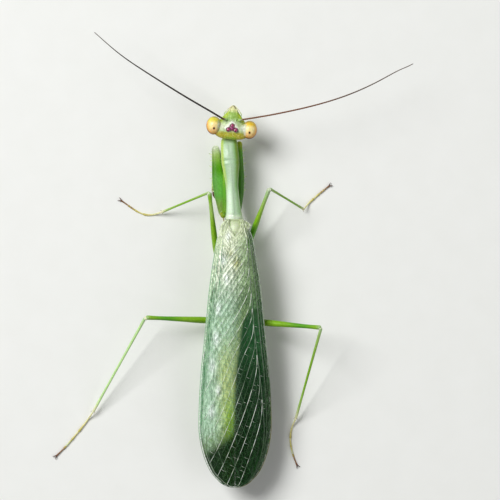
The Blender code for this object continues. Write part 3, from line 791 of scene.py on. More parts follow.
TRAP_WIDTHS = np.array([0.2, 0.36, 0.5, 0.52, 0.46, 0.38, 0.31])
TRAP_HEIGHTS = (0.2, 0.26, 0.29, 0.29, 0.28, 0.27, 0.25)
THIGH_MARKS = np.linspace(0, 1, len(TRAP_HEIGHTS))
# The right catching leg lies in shade: its darker tints are painted shade over the left one's greens.
TRAP_LIT_AND_SHADED_TINTS = {"left": ("pale", "pale", "emerald", "emerald", "leaf", "pale", "milk"),
              "right": ("shade", "shade", "moss", "moss", "shade", "leaf", "sap")}
TRAP_SLIMMER = {"left": 0.0, "right": 0.07}  # how far the thigh's outer side stays inside its solid
# Painted light and shade across the left catching thigh: paler on its inner side, darker on its outer side.
TRAP_SHADE_LEAN = {"left": 0.38, "right": 0.0}
# Two rows of thigh spines: how many, size, how far out, how far down, length, shift along the thigh.
THIGH_SPINES = ((7, 0.062, 0.92, 0.25, 0.5, 0.0), (8, 0.048, 0.8, 0.6, 0.34, 0.04))


def catching_leg(side):
    """Hip, ring, thigh, knee, shin and thin foot of one catching leg, with three rows of spines."""
    sign, name = SIDES[side], "front_" + side
    slim, beside = TRAP_SLIMMER[side], sign * np.array([1.0, 0, 0])
    hip_line = long_axis("coxa_" + name, np.array([0.5, 4.0, 1.8]))
    thigh_back, thigh_front = long_axis("femur_" + name, hip_line[1])
    shin_line = long_axis("tibia_" + name, thigh_front) - 1.8 * slim * beside
    along, length = unit(thigh_front - thigh_back), np.linalg.norm(thigh_front - thigh_back)
    shin_way, shin_length = unit(shin_line[1] - shin_line[0]), np.linalg.norm(shin_line[1] - shin_line[0])
    knee = thigh_front + 0.25 * unit(thigh_back - thigh_front)
    shells = [
        limb([hip_line[0] + np.array([0, -0.3, 0.35]), hip_line[0], hip_line[1]],
             (0.27, 0.31, 0.3, 0.25, 0.27), rows=60, sides=24,
             lobes=lambda turn: 1 + 0.05 * np.cos(3 * turn), tints=("pale", "lime", "leaf", "lime")),
        limb([hip_line[1], (hip_line[1] + thigh_back) / 2 + [0, 0.08, 0], thigh_back + [0, -0.35, 0]],
             (0.2, 0.24, 0.2), rows=26, tints=("lime", "sap", "lime")),
        limb([thigh_back, thigh_front] - slim * beside, TRAP_WIDTHS - slim, TRAP_HEIGHTS,
             rows=120, sides=40, lobes=blade, tints=TRAP_LIT_AND_SHADED_TINTS[side],
             marks=(0, 0.12, 0.3, 0.5, 0.66, 0.84, 0.97), rough=0.24, lean=TRAP_SHADE_LEAN[side]),
        limb([knee, shin_line[0] + 0.3 * shin_way], (0.2, 0.22, 0.17), rows=26,
             tints=("milk", "mint", "lime")),
        limb(shin_line, (0.2, 0.17, 0.13, 0.11), rows=50, sides=18,
             tints=("lime", "leaf", "pale", "rust"), marks=(0, 0.4, 0.85, 1)),
    ]
    for count, size, edge, drop, tall, shift in THIGH_SPINES:
        share = np.linspace(0.33, 0.86, count) + shift
        wide, high = (through(THIGH_MARKS, v, share)[:, None] for v in (TRAP_WIDTHS, TRAP_HEIGHTS))
        roots = thigh_back - 2 * slim * beside + share[:, None] * length * along
        roots = roots + edge * 0.85 * wide * beside - drop * high * UP
        every_second = 1 - 0.25 * (np.arange(count)[:, None] % 2)
        tips = roots + tall * (0.72 * beside - 0.6 * UP + 0.35 * along) * every_second
        shells.append(spine_shells(roots, tips, size, ("lime", "ivory", "foam", "tan")))
    share = np.linspace(0.12, 0.88, 11)
    roots = shin_line[0] + share[:, None] * shin_length * shin_way
    tips = roots + 0.3 * (-0.75 * beside + 0.35 * UP) + 0.12 * shin_way
    shells.append(spine_shells(roots, tips, 0.032, ("pale", "ivory", "rust")))
    t = np.linspace(0, 1, 12)[:, None]
    claw_paths.append(shin_line[1] + 0.75 * t * shin_way - beside * 0.42 * t**2
                      + 0.1 * np.sin(3 * t) * UP)
    toes = long_axis("tarsus_" + name, shin_line[1])
    route = np.array([shin_line[1] - 0.1 * shin_way, (shin_line[1] * 2 + toes[0]) / 3, *toes])
    shells += beads(route, FOOT_CUTS, [tuple(0.8 * r for r in sizes) for sizes in FOOT_SIZES],
                    [("pale", "straw")] * 4 + [("straw", "tan")], rows=16, sides=12)
    return shells


catching_shells = [shell for side in SIDES for shell in catching_leg(side)]
print("catching legs:", len(catching_shells), "shells")

# %% [markdown]
# ## Tail feelers and the welded skin
#
# Two short feelers, the cerci, stand at the end of the abdomen. They are cones of eleven swollen
# rings. With them all shells of the skin are there, and one union makes a single closed surface of
# them: what lies inside another shell is cut away and no seam is left at a joint. A remesh would also
# join them, but at this size it would melt the spines.

# %% Tail feelers and the welded skin
tail_shells = []
for side, sign in SIDES.items():
    root, tip = long_axis("cercus_" + side, np.array([0.5, 28.0, 2.2]))
    root = root + 0.5 * unit(root - tip) + np.array([0, 0, 0.05])
    rings = np.linspace(0, 1, 12)
    sizes = [(0.6 * r, r) for r in through((0, 0.3, 1), (0.17, 0.16, 0.06), rings[1:])]
    tail_shells += beads([root, (root + tip) / 2 + [0, 0, 0.03], tip], rings, sizes,
                         [("lime", "straw")] * 11, rows=10, sides=14)

skin = weld("skin", [trunk, *head_shells, *leg_shells, *catching_shells, *tail_shells])
skin.calc_loop_triangles()
print("skin:", len(skin.loop_triangles), "triangles,", [a.name for a in skin.attributes])

# %% [markdown]
# ## Adding nodes
#
# Every finish below is a small net of shader nodes. One function adds a node, sets its values and links
# its inputs, so that each finish reads as a list of what it is made of.

# %% Node helper
def add(tree, kind, sets=None, links=None, **settings):
    """Add one shader node: settings are its own properties, sets its socket values, links its inputs."""
    node = tree.nodes.new(kind)
    for name, value in settings.items():
        setattr(node, name, value)
    for name, value in (sets or {}).items():
        node.inputs[name].default_value = value
    for name, source in (links or {}).items():
        tree.links.new(source, node.inputs[name])
    return node


def finish(name, sets):
    """A new material: its node tree and its shader, with the values that are the same all over."""
    material = bpy.data.materials.new(name)
    material.use_nodes = True
    tree = material.node_tree
    tree.nodes.clear()
    shader = add(tree, "ShaderNodeBsdfPrincipled", sets)
    add(tree, "ShaderNodeOutputMaterial", links={"Surface": shader.outputs[0]})
    return material, tree, shader


def grain(tree, size, detail=2.0, stretch=(1, 1, 1)):
    """Soft noise whose grains are about size millimetres, in the piece's own coordinates.

    A stretch below one along an axis draws the grains out along it."""
    place = add(tree, "ShaderNodeTexCoord")
    drawn = add(tree, "ShaderNodeMapping", {"Scale": stretch}, {"Vector": place.outputs["Object"]})
    return add(tree, "ShaderNodeTexNoise", {"Scale": 1 / (size * MM), "Detail": detail},
               {"Vector": drawn.outputs[0]})


def mottled_paint(tree, shader, size, low, high):
    """The painted colour, times a soft noise between low and high whose grains are size millimetres."""
    paint = add(tree, "ShaderNodeAttribute", attribute_name="paint")
    cloud = grain(tree, size)
    shade = add(tree, "ShaderNodeMapRange",
                {"From Min": 0.3, "From Max": 0.7, "To Min": low, "To Max": high},
                {"Value": cloud.outputs[0]})
    tinted = add(tree, "ShaderNodeVectorMath", links={0: paint.outputs["Color"], 1: shade.outputs[0]},
                 operation="MULTIPLY")
    tree.links.new(tinted.outputs[0], shader.inputs["Base Color"])


# %% [markdown]
# ## Finish: living cuticle
#
# Cuticle is chitin and protein under a film of wax, laid down in sheets. Alive, it is slightly
# translucent: the green lies in it, and its surface has a soft gloss that breaks up over tiny granules.
# So the colour comes from the painted attribute, mottled by grains of 0.12 mm; light goes 0.15 mm into
# it; the bump has granules of 0.05 mm, which is as fine as the eye can hope to see; and the wax is a
# thin coat. Dry chitin's index is 1.56. Under its wax it shines less, as if the index were 1.42.

# %% Living cuticle
def cuticle(name, mottle=0.16, bump=0.25, coat=0.06, shine=0.5):
    """Waxed chitin: colour and roughness come from the mesh, and the granules vary the roughness."""
    material, tree, shader = finish(name, {
        "IOR": 1.42, "Specular IOR Level": shine,
        "Coat Weight": coat, "Coat Roughness": 0.22, "Coat IOR": 1.44,
        "Subsurface Weight": 0.18, "Subsurface Scale": 0.15 * MM, "Subsurface Radius": (0.6, 1.0, 0.35)})
    mottled_paint(tree, shader, 0.12, 1 - mottle, 1 + mottle)
    rough = add(tree, "ShaderNodeAttribute", attribute_name="rough")
    fine = grain(tree, 0.05, 1.0)
    uneven = add(tree, "ShaderNodeMath", {1: 0.12}, {0: fine.outputs[0], 2: rough.outputs["Fac"]},
                 operation="MULTIPLY_ADD")
    relief = add(tree, "ShaderNodeBump", {"Strength": bump, "Distance": 0.01 * MM},
                 {"Height": fine.outputs[0]})
    tree.links.new(uneven.outputs[0], shader.inputs["Roughness"])
    tree.links.new(relief.outputs[0], shader.inputs["Normal"])
    return material


FLESH = ["head_capsule", "mouthparts", "neck", "prothorax", "mesothorax", "metathorax", "abdomen"]
FLESH += ["cercus_" + side for side in SIDES]
FLESH += [f"{part}_{pair}_{side}" for part in ("coxa", "femur", "tibia", "tarsus")
          for pair in ("front", "middle", "hind") for side in SIDES]
show("skin", skin, cuticle("waxed_green_cuticle"), "trunk", *FLESH)

# %% [markdown]
# ## Claws and hooks
#
# The parts that grip are tanned hard and dark: two claws on each walking foot, and the hook at the end
# of each catching shin. Each is a curved cone on a path that was laid down with its leg.

# %% Claws and hooks
def horn(name, tip, root):
    """Tanned chitin: brown and glossy, streaked between a paler and a darker brown."""
    material, tree, shader = finish(name, {"IOR": 1.56, "Roughness": 0.22, "Coat Weight": 0.3,
                                           "Coat Roughness": 0.1})
    streak = grain(tree, 0.15)
    ramp = add(tree, "ShaderNodeMix", {"A": (*root, 1), "B": (*tip, 1)}, {"Factor": streak.outputs[0]},
               data_type="RGBA")
    tree.links.new(ramp.outputs["Result"], shader.inputs["Base Color"])
    return material


claw_shells = []
for path in claw_paths:
    thick = 0.05 if len(path) == CLAW_STEPS else 0.1  # a foot's claw, or the larger hook of a catching shin
    thick = thick * np.sqrt(1.01 - np.linspace(0, 1, len(path)))
    claw_shells.append(make_mesh("claw", *close_rings(tube_rings(path, thick, thick, 10)[None])))
claws = weld("claws", claw_shells)
show("claws", claws, horn("tanned_horn", TINT["soot"], TINT["rust"]), "foot")

# %% [markdown]
# ## Compound eyes
#
# A compound eye is thousands of six-sided lenses on a ball. A ball of triangles turned inside its own
# pattern gives just that: every point of an icosphere becomes a lens, whose corners are the middles of
# the triangles round it. Real lenses here are 0.03 mm across. These are 0.06 mm, so that they show. The
# colour is in the depth of the eye, cream where one looks straight in and orange at the edge, with a
# yellow front and a pale inner corner. The brown outline round the edge and the brown beneath are
# painted shade, and the right eye's paler inner corner is partly a painted reflection. The dark spot is
# the false pupil, the few lenses that look straight back at us.

# %% Compound eyes
def lens_ball(divisions, dome):
    """A unit ball of low six-sided domes.

    Each directed edge a to b of the icosphere lies between the triangle on its left and the one on its
    right, which holds b to a. The three points a, right middle and left middle make one slice of the lens
    round a."""
    ball = bmesh.new()
    bmesh.ops.create_icosphere(ball, subdivisions=divisions, radius=1.0)
    mesh = bpy.data.meshes.new("icosphere")
    ball.to_mesh(mesh)
    ball.free()
    flat = np.empty(3 * len(mesh.vertices), np.float32)
    mesh.vertices.foreach_get("co", flat)
    tips = flat.reshape(-1, 3).astype(float)
    index = np.empty(3 * len(mesh.polygons), np.int32)
    mesh.polygons.foreach_get("vertices", index)
    triangles = index.reshape(-1, 3).astype(np.int64)
    a, b = triangles.ravel(), np.roll(triangles, -1, axis=1).ravel()
    left = np.repeat(np.arange(len(triangles)), 3)
    key = a * len(tips) + b
    order = np.argsort(key)
    right = left[order[np.searchsorted(key[order], b * len(tips) + a)]]
    middles = unit(tips[triangles].mean(axis=1)) * (1 - dome)
    slices = np.stack([a, len(tips) + right, len(tips) + left], axis=-1)
    return np.vstack([tips, middles]), slices


LENS_POINTS, LENS_SLICES = lens_ball(5, 0.012)


def eye_paint(way, side):
    """The eye's colour by the direction (to the head's side, ahead, out) in which its surface looks."""
    outer, ahead, out = way[:, 0] * SIDES[side], way[:, 1], way[:, 2]
    # The right eye's paler inner corner is partly a painted reflection.
    front, corner = {"left": ("#DDD43A", "#B4BC8C"), "right": ("#E6C21E", "#CBD3C0")}[side]
    inner = ease(-outer, 0.3, 0.6) * ease(out, -0.1, 0.3) * (1 - ease(ahead, 0.35, 0.7))
    far = ease(outer - 0.8 * ahead, -0.4, 0.5)
    pupil = np.linalg.norm(way - unit(np.array([-0.05, -0.47, 0.88])), axis=1)
    return coats(
        "#F9E69E",
        ("#EDB040", ease(1 - out, 0.12, 0.55)),
        (front, 0.95 * ease(ahead, 0.05, 0.5)),
        ("#99940E", 0.85 * ease(ahead, 0.7, 0.95) * ease(out, -0.1, 0.3)),
        ("#F2BC7C", 0.5 * ease(-ahead, 0.35, 0.8)),
        (corner, 0.85 * inner),
        ("#F2F4EE", 0.6 * bell(np.hypot(-outer - 0.75, ahead + 0.05) - 0.2, 0.08) * inner),
        ("#D98E30", (0.25 + 0.6 * far) * ease(-out, -0.5, -0.22)),
        # Painted shade: a brown outline round the eye's edge, stronger on its far side, and brown beneath.
        ("#3A1C0A", (0.3 + 0.5 * far) * bell(np.clip(out, 0.06, 1) - 0.06, 0.2)),
        ("#A8682A", ease(-out, -0.02, 0.4)),
        ("#D98A4C", 0.5 * (1 - ease(pupil, 0.13, 0.3))),
        ("#120A06", 1 - ease(pupil, 0.11, 0.15)))


eye_gloss, tree, shader = finish("compound_eye_lens", {
    "IOR": 1.4, "Roughness": 0.34, "Subsurface Weight": 0.25, "Subsurface Scale": 0.2 * MM,
    "Coat Weight": 0.2, "Coat Roughness": 0.12})
mottled_paint(tree, shader, 0.2, 0.88, 1.1)
for side in SIDES:
    points = EYE_MIDDLES[side] + (LENS_POINTS * EYE_SIZES[side] * 0.995) @ HEAD_AXES
    paint = eye_paint(unit(LENS_POINTS), side)
    eye = make_mesh("eye", points, np.empty((0, 4), int), LENS_SLICES, paint)
    show(f"eye_{side}", eye, eye_gloss, "eye", f"eye_{side}", crease=60)

# %% [markdown]
# ## Simple eyes
#
# Between the large eyes sit three simple eyes, each one smooth lens. A male has large ones, to fly by
# dusk. Here they are magenta with dark red rims. Each is a low ball with a hoop at its foot, glossy
# like glass.

# %% Simple eyes
ocellus_finish, tree, shader = finish("ocellus_lens", {
    "IOR": 1.5, "Roughness": 0.12, "Subsurface Weight": 0.3, "Subsurface Scale": 0.1 * MM,
    "Coat Weight": 0.8, "Coat Roughness": 0.05})
mottled_paint(tree, shader, 0.06, 0.75, 1.2)
OCELLUS_SIZE = np.array([0.19, 0.19, 0.14])
tilts, turns = np.meshgrid(np.linspace(0.05, np.pi - 0.05, 20), CIRCLE[::3], indexing="ij")
DOME = np.stack([np.sin(tilts) * np.cos(turns), np.sin(tilts) * np.sin(turns), np.cos(tilts)], axis=-1)
for name in ("median", "left", "right"):
    middle = box_middle("ocellus_" + name) - 0.05 * LEFT - 0.02 * AHEAD
    points, squares, fans = close_rings((middle + (DOME * OCELLUS_SIZE) @ HEAD_AXES)[None])
    high = ((points - middle) @ OUT) / OCELLUS_SIZE[2]
    # Pinker towards the top of each dome: a painted highlight on the dark red lens.
    paint = coats("#540622", ("#A83A6A", ease(high, 0.4, 1.0)))
    lens = make_mesh("lens", points, squares, fans, paint, 0.1)
    ring = np.stack([0.195 * np.cos(CIRCLE), 0.195 * np.sin(CIRCLE), 0 * CIRCLE], axis=-1)
    band = hoop(middle + ring @ HEAD_AXES, 0.03, 0.045, 10, OUT)
    collar = make_mesh("collar", *band, hue("#3C0716"), 0.2)
    show("ocellus_" + name, weld("ocellus", [lens, collar]), ocellus_finish, "ocellus", "ocellus_" + name)

# %% [markdown]
# ## Feelers
#
# A mantis feeler is a thread of about ninety beads on two thicker ones, and it is as long as the thorax
# and head together or more. Each bead is widest beyond its middle. One tube does it: the radius falls
# slowly from base to tip, times a wave with one swelling for each bead. A chain of ninety objects would
# add nothing. It is brown chitin in rings with a faint gloss, under a fuzz of hairs too fine to draw,
# so it is fairly rough.

# %% Feelers
BEAD_LENGTH = 0.17
# Radii at four marks along each thread, its tints at five marks, and how far tan shows between the beads.
THREADS = {"left": ((0.086, 0.078, 0.052, 0.032), ("brown", "soot", "soot", "soot", "brown"), 0.12),
           "right": ((0.074, 0.068, 0.052, 0.034), ("rust", "rust", "rust", "brown", "brown"), 0.6)}

feeler_finish, tree, shader = finish("ringed_feeler", {"IOR": 1.45, "Roughness": 0.5})
paint = add(tree, "ShaderNodeAttribute", attribute_name="paint")
fine = grain(tree, 0.04)
relief = add(tree, "ShaderNodeBump", {"Strength": 0.3, "Distance": 0.006 * MM},
             {"Height": fine.outputs[0]})
tree.links.new(paint.outputs["Color"], shader.inputs["Base Color"])
tree.links.new(relief.outputs[0], shader.inputs["Normal"])

for side, sign in SIDES.items():
    sizes, dark, banding = THREADS[side]
    line = middle_line("antenna_" + side, FACE_MIDDLE, 6, 26)
    socket = on_head((sign * SOCKET[0], SOCKET[1], 0.5))
    line = even_path(np.vstack([line[0], line[2:]]), 700)
    length = np.linalg.norm(np.diff(line, axis=0), axis=1).sum()
    along = np.linspace(0, length, len(line))
    wave = np.abs(np.sin(np.pi * along / BEAD_LENGTH - 0.35))
    radius = through((0, 0.3, 0.7, 1), sizes, along / length) * (0.84 + 0.2 * np.sqrt(wave))
    radius *= np.sqrt(np.clip((length - along) / 0.06, 0.02, 1))
    points, squares, fans = close_rings(tube_rings(line, radius, radius, 10)[None])
    tint = coats(through((0, 0.05, 0.3, 0.7, 1), scale_of(dark), along / length),
                 ("tan", banding * bell(wave, 0.3)))
    thread = make_mesh("thread", points, squares, fans, with_ends(np.repeat(tint, 10, axis=0)))
    elbow = line[0] * 0.55 + socket * 0.45 + 0.05 * OUT
    scape = limb([socket, elbow], (0.105, 0.125, 0.1), rows=20, sides=18, tints=("pale", "pale", "mint"))
    pedicel = limb([elbow, line[3]], (0.085, 0.095, 0.075), rows=16, sides=16, tints=("mint", "rust"))
    feeler = weld("antenna", [thread, scape, pedicel])
    show("antenna_" + side, feeler, feeler_finish, "feeler", "antenna_" + side)

# %% [markdown]
# ## The shield
#
# The pronotum is one hard saddle over the first ring of the body. It is widest over the front hips,
# where a groove crosses it, and from there a keel runs back to a flared hind edge. Its rim is a thin
# flange with fine teeth. It is a tube whose upper half is the saddle and whose lower half is nearly
# flat. Its outline is cut from the solid.

# %% The shield
SHIELD_ROWS, SHIELD_SIDES = 230, 72
TOOTH_PITCH = 0.22
GROOVE = 4.95  # where the groove over the hips crosses the keel
shield_y = np.concatenate([[2.8, 2.86], np.linspace(2.95, 10.2, SHIELD_ROWS - 3), [10.24]])
low_x, high_x, _, crown = reaches("pronotum", shield_y).T
rim_height = through((2.78, 3.4, 4.4, 10.25), (2.45, 2.7, 2.95, 2.95), shield_y)
y, turn = np.meshgrid(shield_y, angles(SHIELD_SIDES, 0.5), indexing="ij")
aside, over = np.cos(turn), np.sin(turn)
half_width = (high_x - low_x)[:, None] / 2 * 0.985
from_middle = np.abs(aside * half_width)
teeth = 0.01 * np.abs(np.sin(np.pi * y / TOOTH_PITCH))
teeth = teeth * ease(np.abs(aside), 0.93, 0.99) * ease(y, 3.2, 3.8)
x = (high_x + low_x)[:, None] / 2 + aside * half_width + np.sign(aside) * teeth
keel = 0.05 * bell(from_middle, 0.07) * ease(y, 5.0, 5.8) * ease(-y, -10.1, -9.6)
furrow = -0.035 * bell(from_middle, 0.05) * ease(-y, -4.7, -4.2) * ease(y, 3.2, 3.6)
behind = y - GROOVE - 0.12 * aside**2
groove = -0.035 * bell(behind, 0.1) + 0.02 * bell(behind - 0.3, 0.12)
hollows = -0.03 * bell(np.hypot(from_middle - 0.36, (y - 4.2) / 1.6), 0.16) - 0.035 * bell(y - 9.85, 0.09)
folds = -0.018 * bell(from_middle - 0.3 + 0.03 * (y - 6), 0.05) * ease(y, 5.6, 6.4)
rise = crown[:, None] * 0.995 - rim_height[:, None] - 0.06
z = rim_height[:, None] + 0.05 + rise * np.clip(over, 0, 1) ** 0.85
z = z + (keel + furrow + groove + hollows + folds) * ease(over, 0.05, 0.5)
z = z - np.clip(-over, 0, 1) ** 0.4 * 0.07
points, squares, fans = close_rings(np.stack([x, y, z], axis=-1)[None])
# Painted light and shade: the near white band left of the middle, towards the back, is a painted highlight,
# and the darker greens on the right of the front part and at its right edge are painted shade.
tint = coats(
    "#B0CAA9",
    ("#9CC08C", ease(np.abs(aside), 0.25, 0.75)),
    ("#E6F8E0", 0.75 * ease(aside, 0.05, 0.35) * ease(-aside, -0.95, -0.75) * ease(y, 6.0, 8.5)),
    ("#76A45C", 0.85 * ease(-aside, 0.15, 0.75) * ease(-y, -8.6, -7.0)),
    ("#B2CB62", 0.95 * ease(aside, 0.62, 0.8) * ease(-y, -8.5, -5.5)),
    ("#6F8C2C", 0.9 * ease(-aside, 0.55, 0.72) * ease(-y, -7.5, -5.5)),
    ("#B9CB7E", 0.5 * ease(np.abs(aside), 0.93, 0.99) * ease(y, 5.5, 7.5)),
    ("pale", 0.6 * bell(y - 2.9, 0.35)),
    ("#DDE3CE", 0.5 * bell(y - 10.1, 0.25)))
shield = make_mesh("shield", points, squares, fans, with_ends(tint.reshape(-1, 3)), 0.34)
shield_cuticle = cuticle("silvery_shield_cuticle", mottle=0.08, bump=0.2, coat=0.3)
show("pronotum", shield, shield_cuticle, "shield", "pronotum")

# %% [markdown]
# ## Where the wings lie
#
# At rest the four wings lie on each other like a hand of cards: two folded hind wings side by side
# below, then the left fore wing, then the right one. Each is a sheet 0.02 mm thick, arched over the
# body. The solids are thick plates. The sheets take their outlines and their order from them, and lie
# close together as real ones do. The height is the crown of the hind wings' solids plus a level of the
# wing's own, less 0.6·(x / 3.3)² of arch, and less a curl along the front edge. At the root each sheet
# bends down to the thorax.

# %% Wing outlines and heights
def smooth_cut(node, start, end, column):
    """One column of a solid's reaches, as a smooth function of y."""
    cuts = np.linspace(start, end, 30)
    values = reaches(node, cuts)[:, column]
    return lambda y: through(cuts, values, y)


HIND_START, HIND_END = 12.25, 33.45
FORE_START, FORE_END = 10.47, 34.36
TIP = 33.9  # the outlines are cut from the solids up to here, and rounded off beyond it
wing_crown = smooth_cut("hindwing_left", HIND_START, HIND_END, 3)
ROOT_HEIGHT = {"left": 3.5, "right": 3.57}
LEVEL = {"left": 0.1, "right": 0.36}


def margins(node, sign, start, tip, end):
    """Two functions of y: the wing's outer and inner margin, measured towards its own side.

    Beyond the last cut the half width falls as the square root of what is left to the end, so the tip is
    round."""
    low, high = smooth_cut(node, start, tip, 0), smooth_cut(node, start, tip, 1)

    def edge(y, share):
        """The middle plus a share of the half width: 1 is the outer margin and -1 the inner one."""
        inside = np.minimum(y, tip)
        middle, half = (low(inside) + high(inside)) / 2, (high(inside) - low(inside)) / 2
        half = half * np.sqrt(np.clip((end - y) / (end - tip), 0, 1)) ** np.where(y > tip, 1, 0)
        return sign * middle + share * half

    return (lambda y: edge(y, 1.0)), (lambda y: edge(y, -1.0))


MARGINS = {side: margins("forewing_" + side, sign, FORE_START + 0.02, TIP, FORE_END)
           for side, sign in SIDES.items()}
print("fore wing at y = 28 mm reaches", [edge(np.array([28.0])).round(2) for edge in MARGINS["right"]])

# %% [markdown]
# ## The veins' plan
#
# A fore wing has stout veins along its front edge: the edge itself, two close behind it and a stem.
# From the stem long branches sweep back and inwards, every second one weaker, and short cross-veins tie
# them into a net.
#
# The branches can be drawn one by one, or all be level lines of one function, as contour lines are of a
# hill. The second way keeps them from touching, gives each its number, and tells where a cross-vein
# goes: straight uphill. Here F = X + 0.06·X² + I(y), with X towards the wing's own side and I(y) the
# sum of the branches' slope from the root. Branch n is the line F = 0.95 + 0.3·n + 0.0042·n², so they
# stand closer near the root.

# %% Level lines
NET_Y = np.linspace(10.3, 34.5, 600)
NET_SLOPE = through((10.3, 12, 14, 16, 18, 21, 24, 29, 34.5),
                    (1.05, 1.0, 0.75, 0.66, 0.58, 0.6, 0.36, 0.4, 0.42), NET_Y)
NET_RISE = np.concatenate([[0], np.cumsum((NET_SLOPE[1:] + NET_SLOPE[:-1]) / 2 * np.diff(NET_Y))])
BRANCHES = np.arange(1, 31)
FIRST_LEVEL, LEVEL_STEP, LEVEL_GROWTH = 0.95, 0.3, 0.0042
SWEEP = 0.06  # the share of X² in F, which bends the branches inwards


def branch_level(number):
    """The level of branch n: the first level, plus a step for each branch, plus the growth of the steps."""
    return FIRST_LEVEL + LEVEL_STEP * number + LEVEL_GROWTH * number**2


def branch_number(x, y):
    """Which branch a place belongs to, with a fraction between two: the level formula solved for n."""
    level = np.maximum(x + SWEEP * x**2 + np.interp(y, NET_Y, NET_RISE), FIRST_LEVEL + 0.01)
    root = np.sqrt(LEVEL_STEP**2 + 4 * LEVEL_GROWTH * (level - FIRST_LEVEL))
    return (root - LEVEL_STEP) / (2 * LEVEL_GROWTH)


def branch_x(level, y):
    """Where the line F = level lies at y: the formula of F solved for X."""
    left = level - np.interp(y, NET_Y, NET_RISE)
    return (np.sqrt(np.maximum(1 + 4 * SWEEP * left, 0.04)) - 1) / (2 * SWEEP)


def stems(side, y):
    """The four long veins behind the front edge, as X at y: edge, subcosta, radius and stem."""
    edge = MARGINS[side][0](y) - 0.02
    field = through((10.4, 12, 16, 22, 28, 31, 33.5, 34.4),
                    (0.14, 0.3, 0.42, 0.46, 0.42, 0.36, 0.2, 0.02), y)
    band = through((10.4, 12, 16, 20, 24, 28, 32, 34.4), (0.06, 0.2, 0.4, 0.46, 0.4, 0.26, 0.12, 0.02), y)
    return np.stack([edge, edge - 0.5 * field, edge - field, edge - field - band])


print("branches:", len(BRANCHES), "levels", branch_level(BRANCHES[[0, -1]]).round(2))

# %% [markdown]
# ## A fore wing's sheet
#
# The membrane is two layers of cuticle pressed together, clear where it is thin. It isn't flat: it
# rises to every vein and sags between two, which is what breaks up its shine. So the sheet's height
# carries a ripple of 0.03 mm, the cosine of the branch number. The sheet is a flat tube, upper side,
# edge, lower side, edge, so it is closed like everything else.

# %% Sheets
SHEET_THICK = 0.02


def sheet_height(side, x, y, level, ripple=0.0):
    """Height of a wing's upper side at X towards its own side and y."""
    outer = MARGINS[side][0](y)
    full = wing_crown(np.clip(y, HIND_START, HIND_END)) + level - 0.6 * (x / 3.3) ** 2
    full = full - 0.22 * ease(x, outer - 0.75, outer + 0.1)
    lift = ease(y, 10.2, 13.4)
    return full * lift + (ROOT_HEIGHT[side] - 0.5 * np.clip(x - 0.6, 0, 1) ** 2) * (1 - lift) + ripple


def fore_ripple(x, y):
    """The sag between the veins: 0.03 mm times the cosine of the branch number."""
    return 0.03 * np.cos(2 * np.pi * branch_number(x, y)) * ease(y, 10.6, 11.6)


def rows_to_tip(start, tip, end, rows):
    """Even rows up to the tip, then rows that draw together as it rounds off."""
    rounding = end - (end - tip) * np.linspace(1, 0.06, 16) ** 2
    return np.concatenate([np.linspace(start, tip, rows)[:-1], rounding])


def flat_tube(name, sign, x, y, z, thick, paint, rough, cover):
    """A closed sheet: the grid (rows, columns) above, and the same grid thick below it, read backwards.

    Its colour, roughness and cover are one value, or one for each place of the grid."""
    top = np.stack([sign * x, y, z], axis=-1)
    ring = np.concatenate([top, top[:, ::-1] - (0, 0, thick)], axis=1)
    points, squares, fans = close_rings(ring[None])

    def around(values):
        """Values above and below each place, then the mean of each end's ring."""
        values = np.broadcast_to(values, x.shape + np.shape(values)[2:])
        both = np.concatenate([values, values[:, ::-1]], axis=1)
        return np.concatenate([both.reshape(-1, *values.shape[2:]), both[[0, -1]].mean(axis=1)])

    return make_mesh(name, points, squares, fans, around(paint), around(rough), around(cover))


# Where the left sheet, lying flattest to the sky, shines white: across the animal, along it, and how wide.
GLARE = ((0.6, 11.8, 0.22), (1.05, 13.9, 0.24), (0.75, 15.6, 0.2), (1.55, 18.3, 0.3),
         (1.7, 21.0, 0.3), (2.05, 23.5, 0.34), (1.5, 25.6, 0.3), (2.1, 27.6, 0.3))
# The tint of the front edge, the share of it, and how much it covers: pale on the lit left wing, dark green
# on the right wing as painted shade.
RIM_LIT_AND_SHADED = {"left": ("#9CC874", 0.3, 0.04), "right": ("#204A1A", 0.9, 0.32)}


def past_body(across, y):
    """How far a place lies behind the slanting line where the pale body ends under the wings."""
    return y - through((-0.3, 0.8, 1.8, 2.6), (29.6, 30.3, 31.1, 31.5), across)


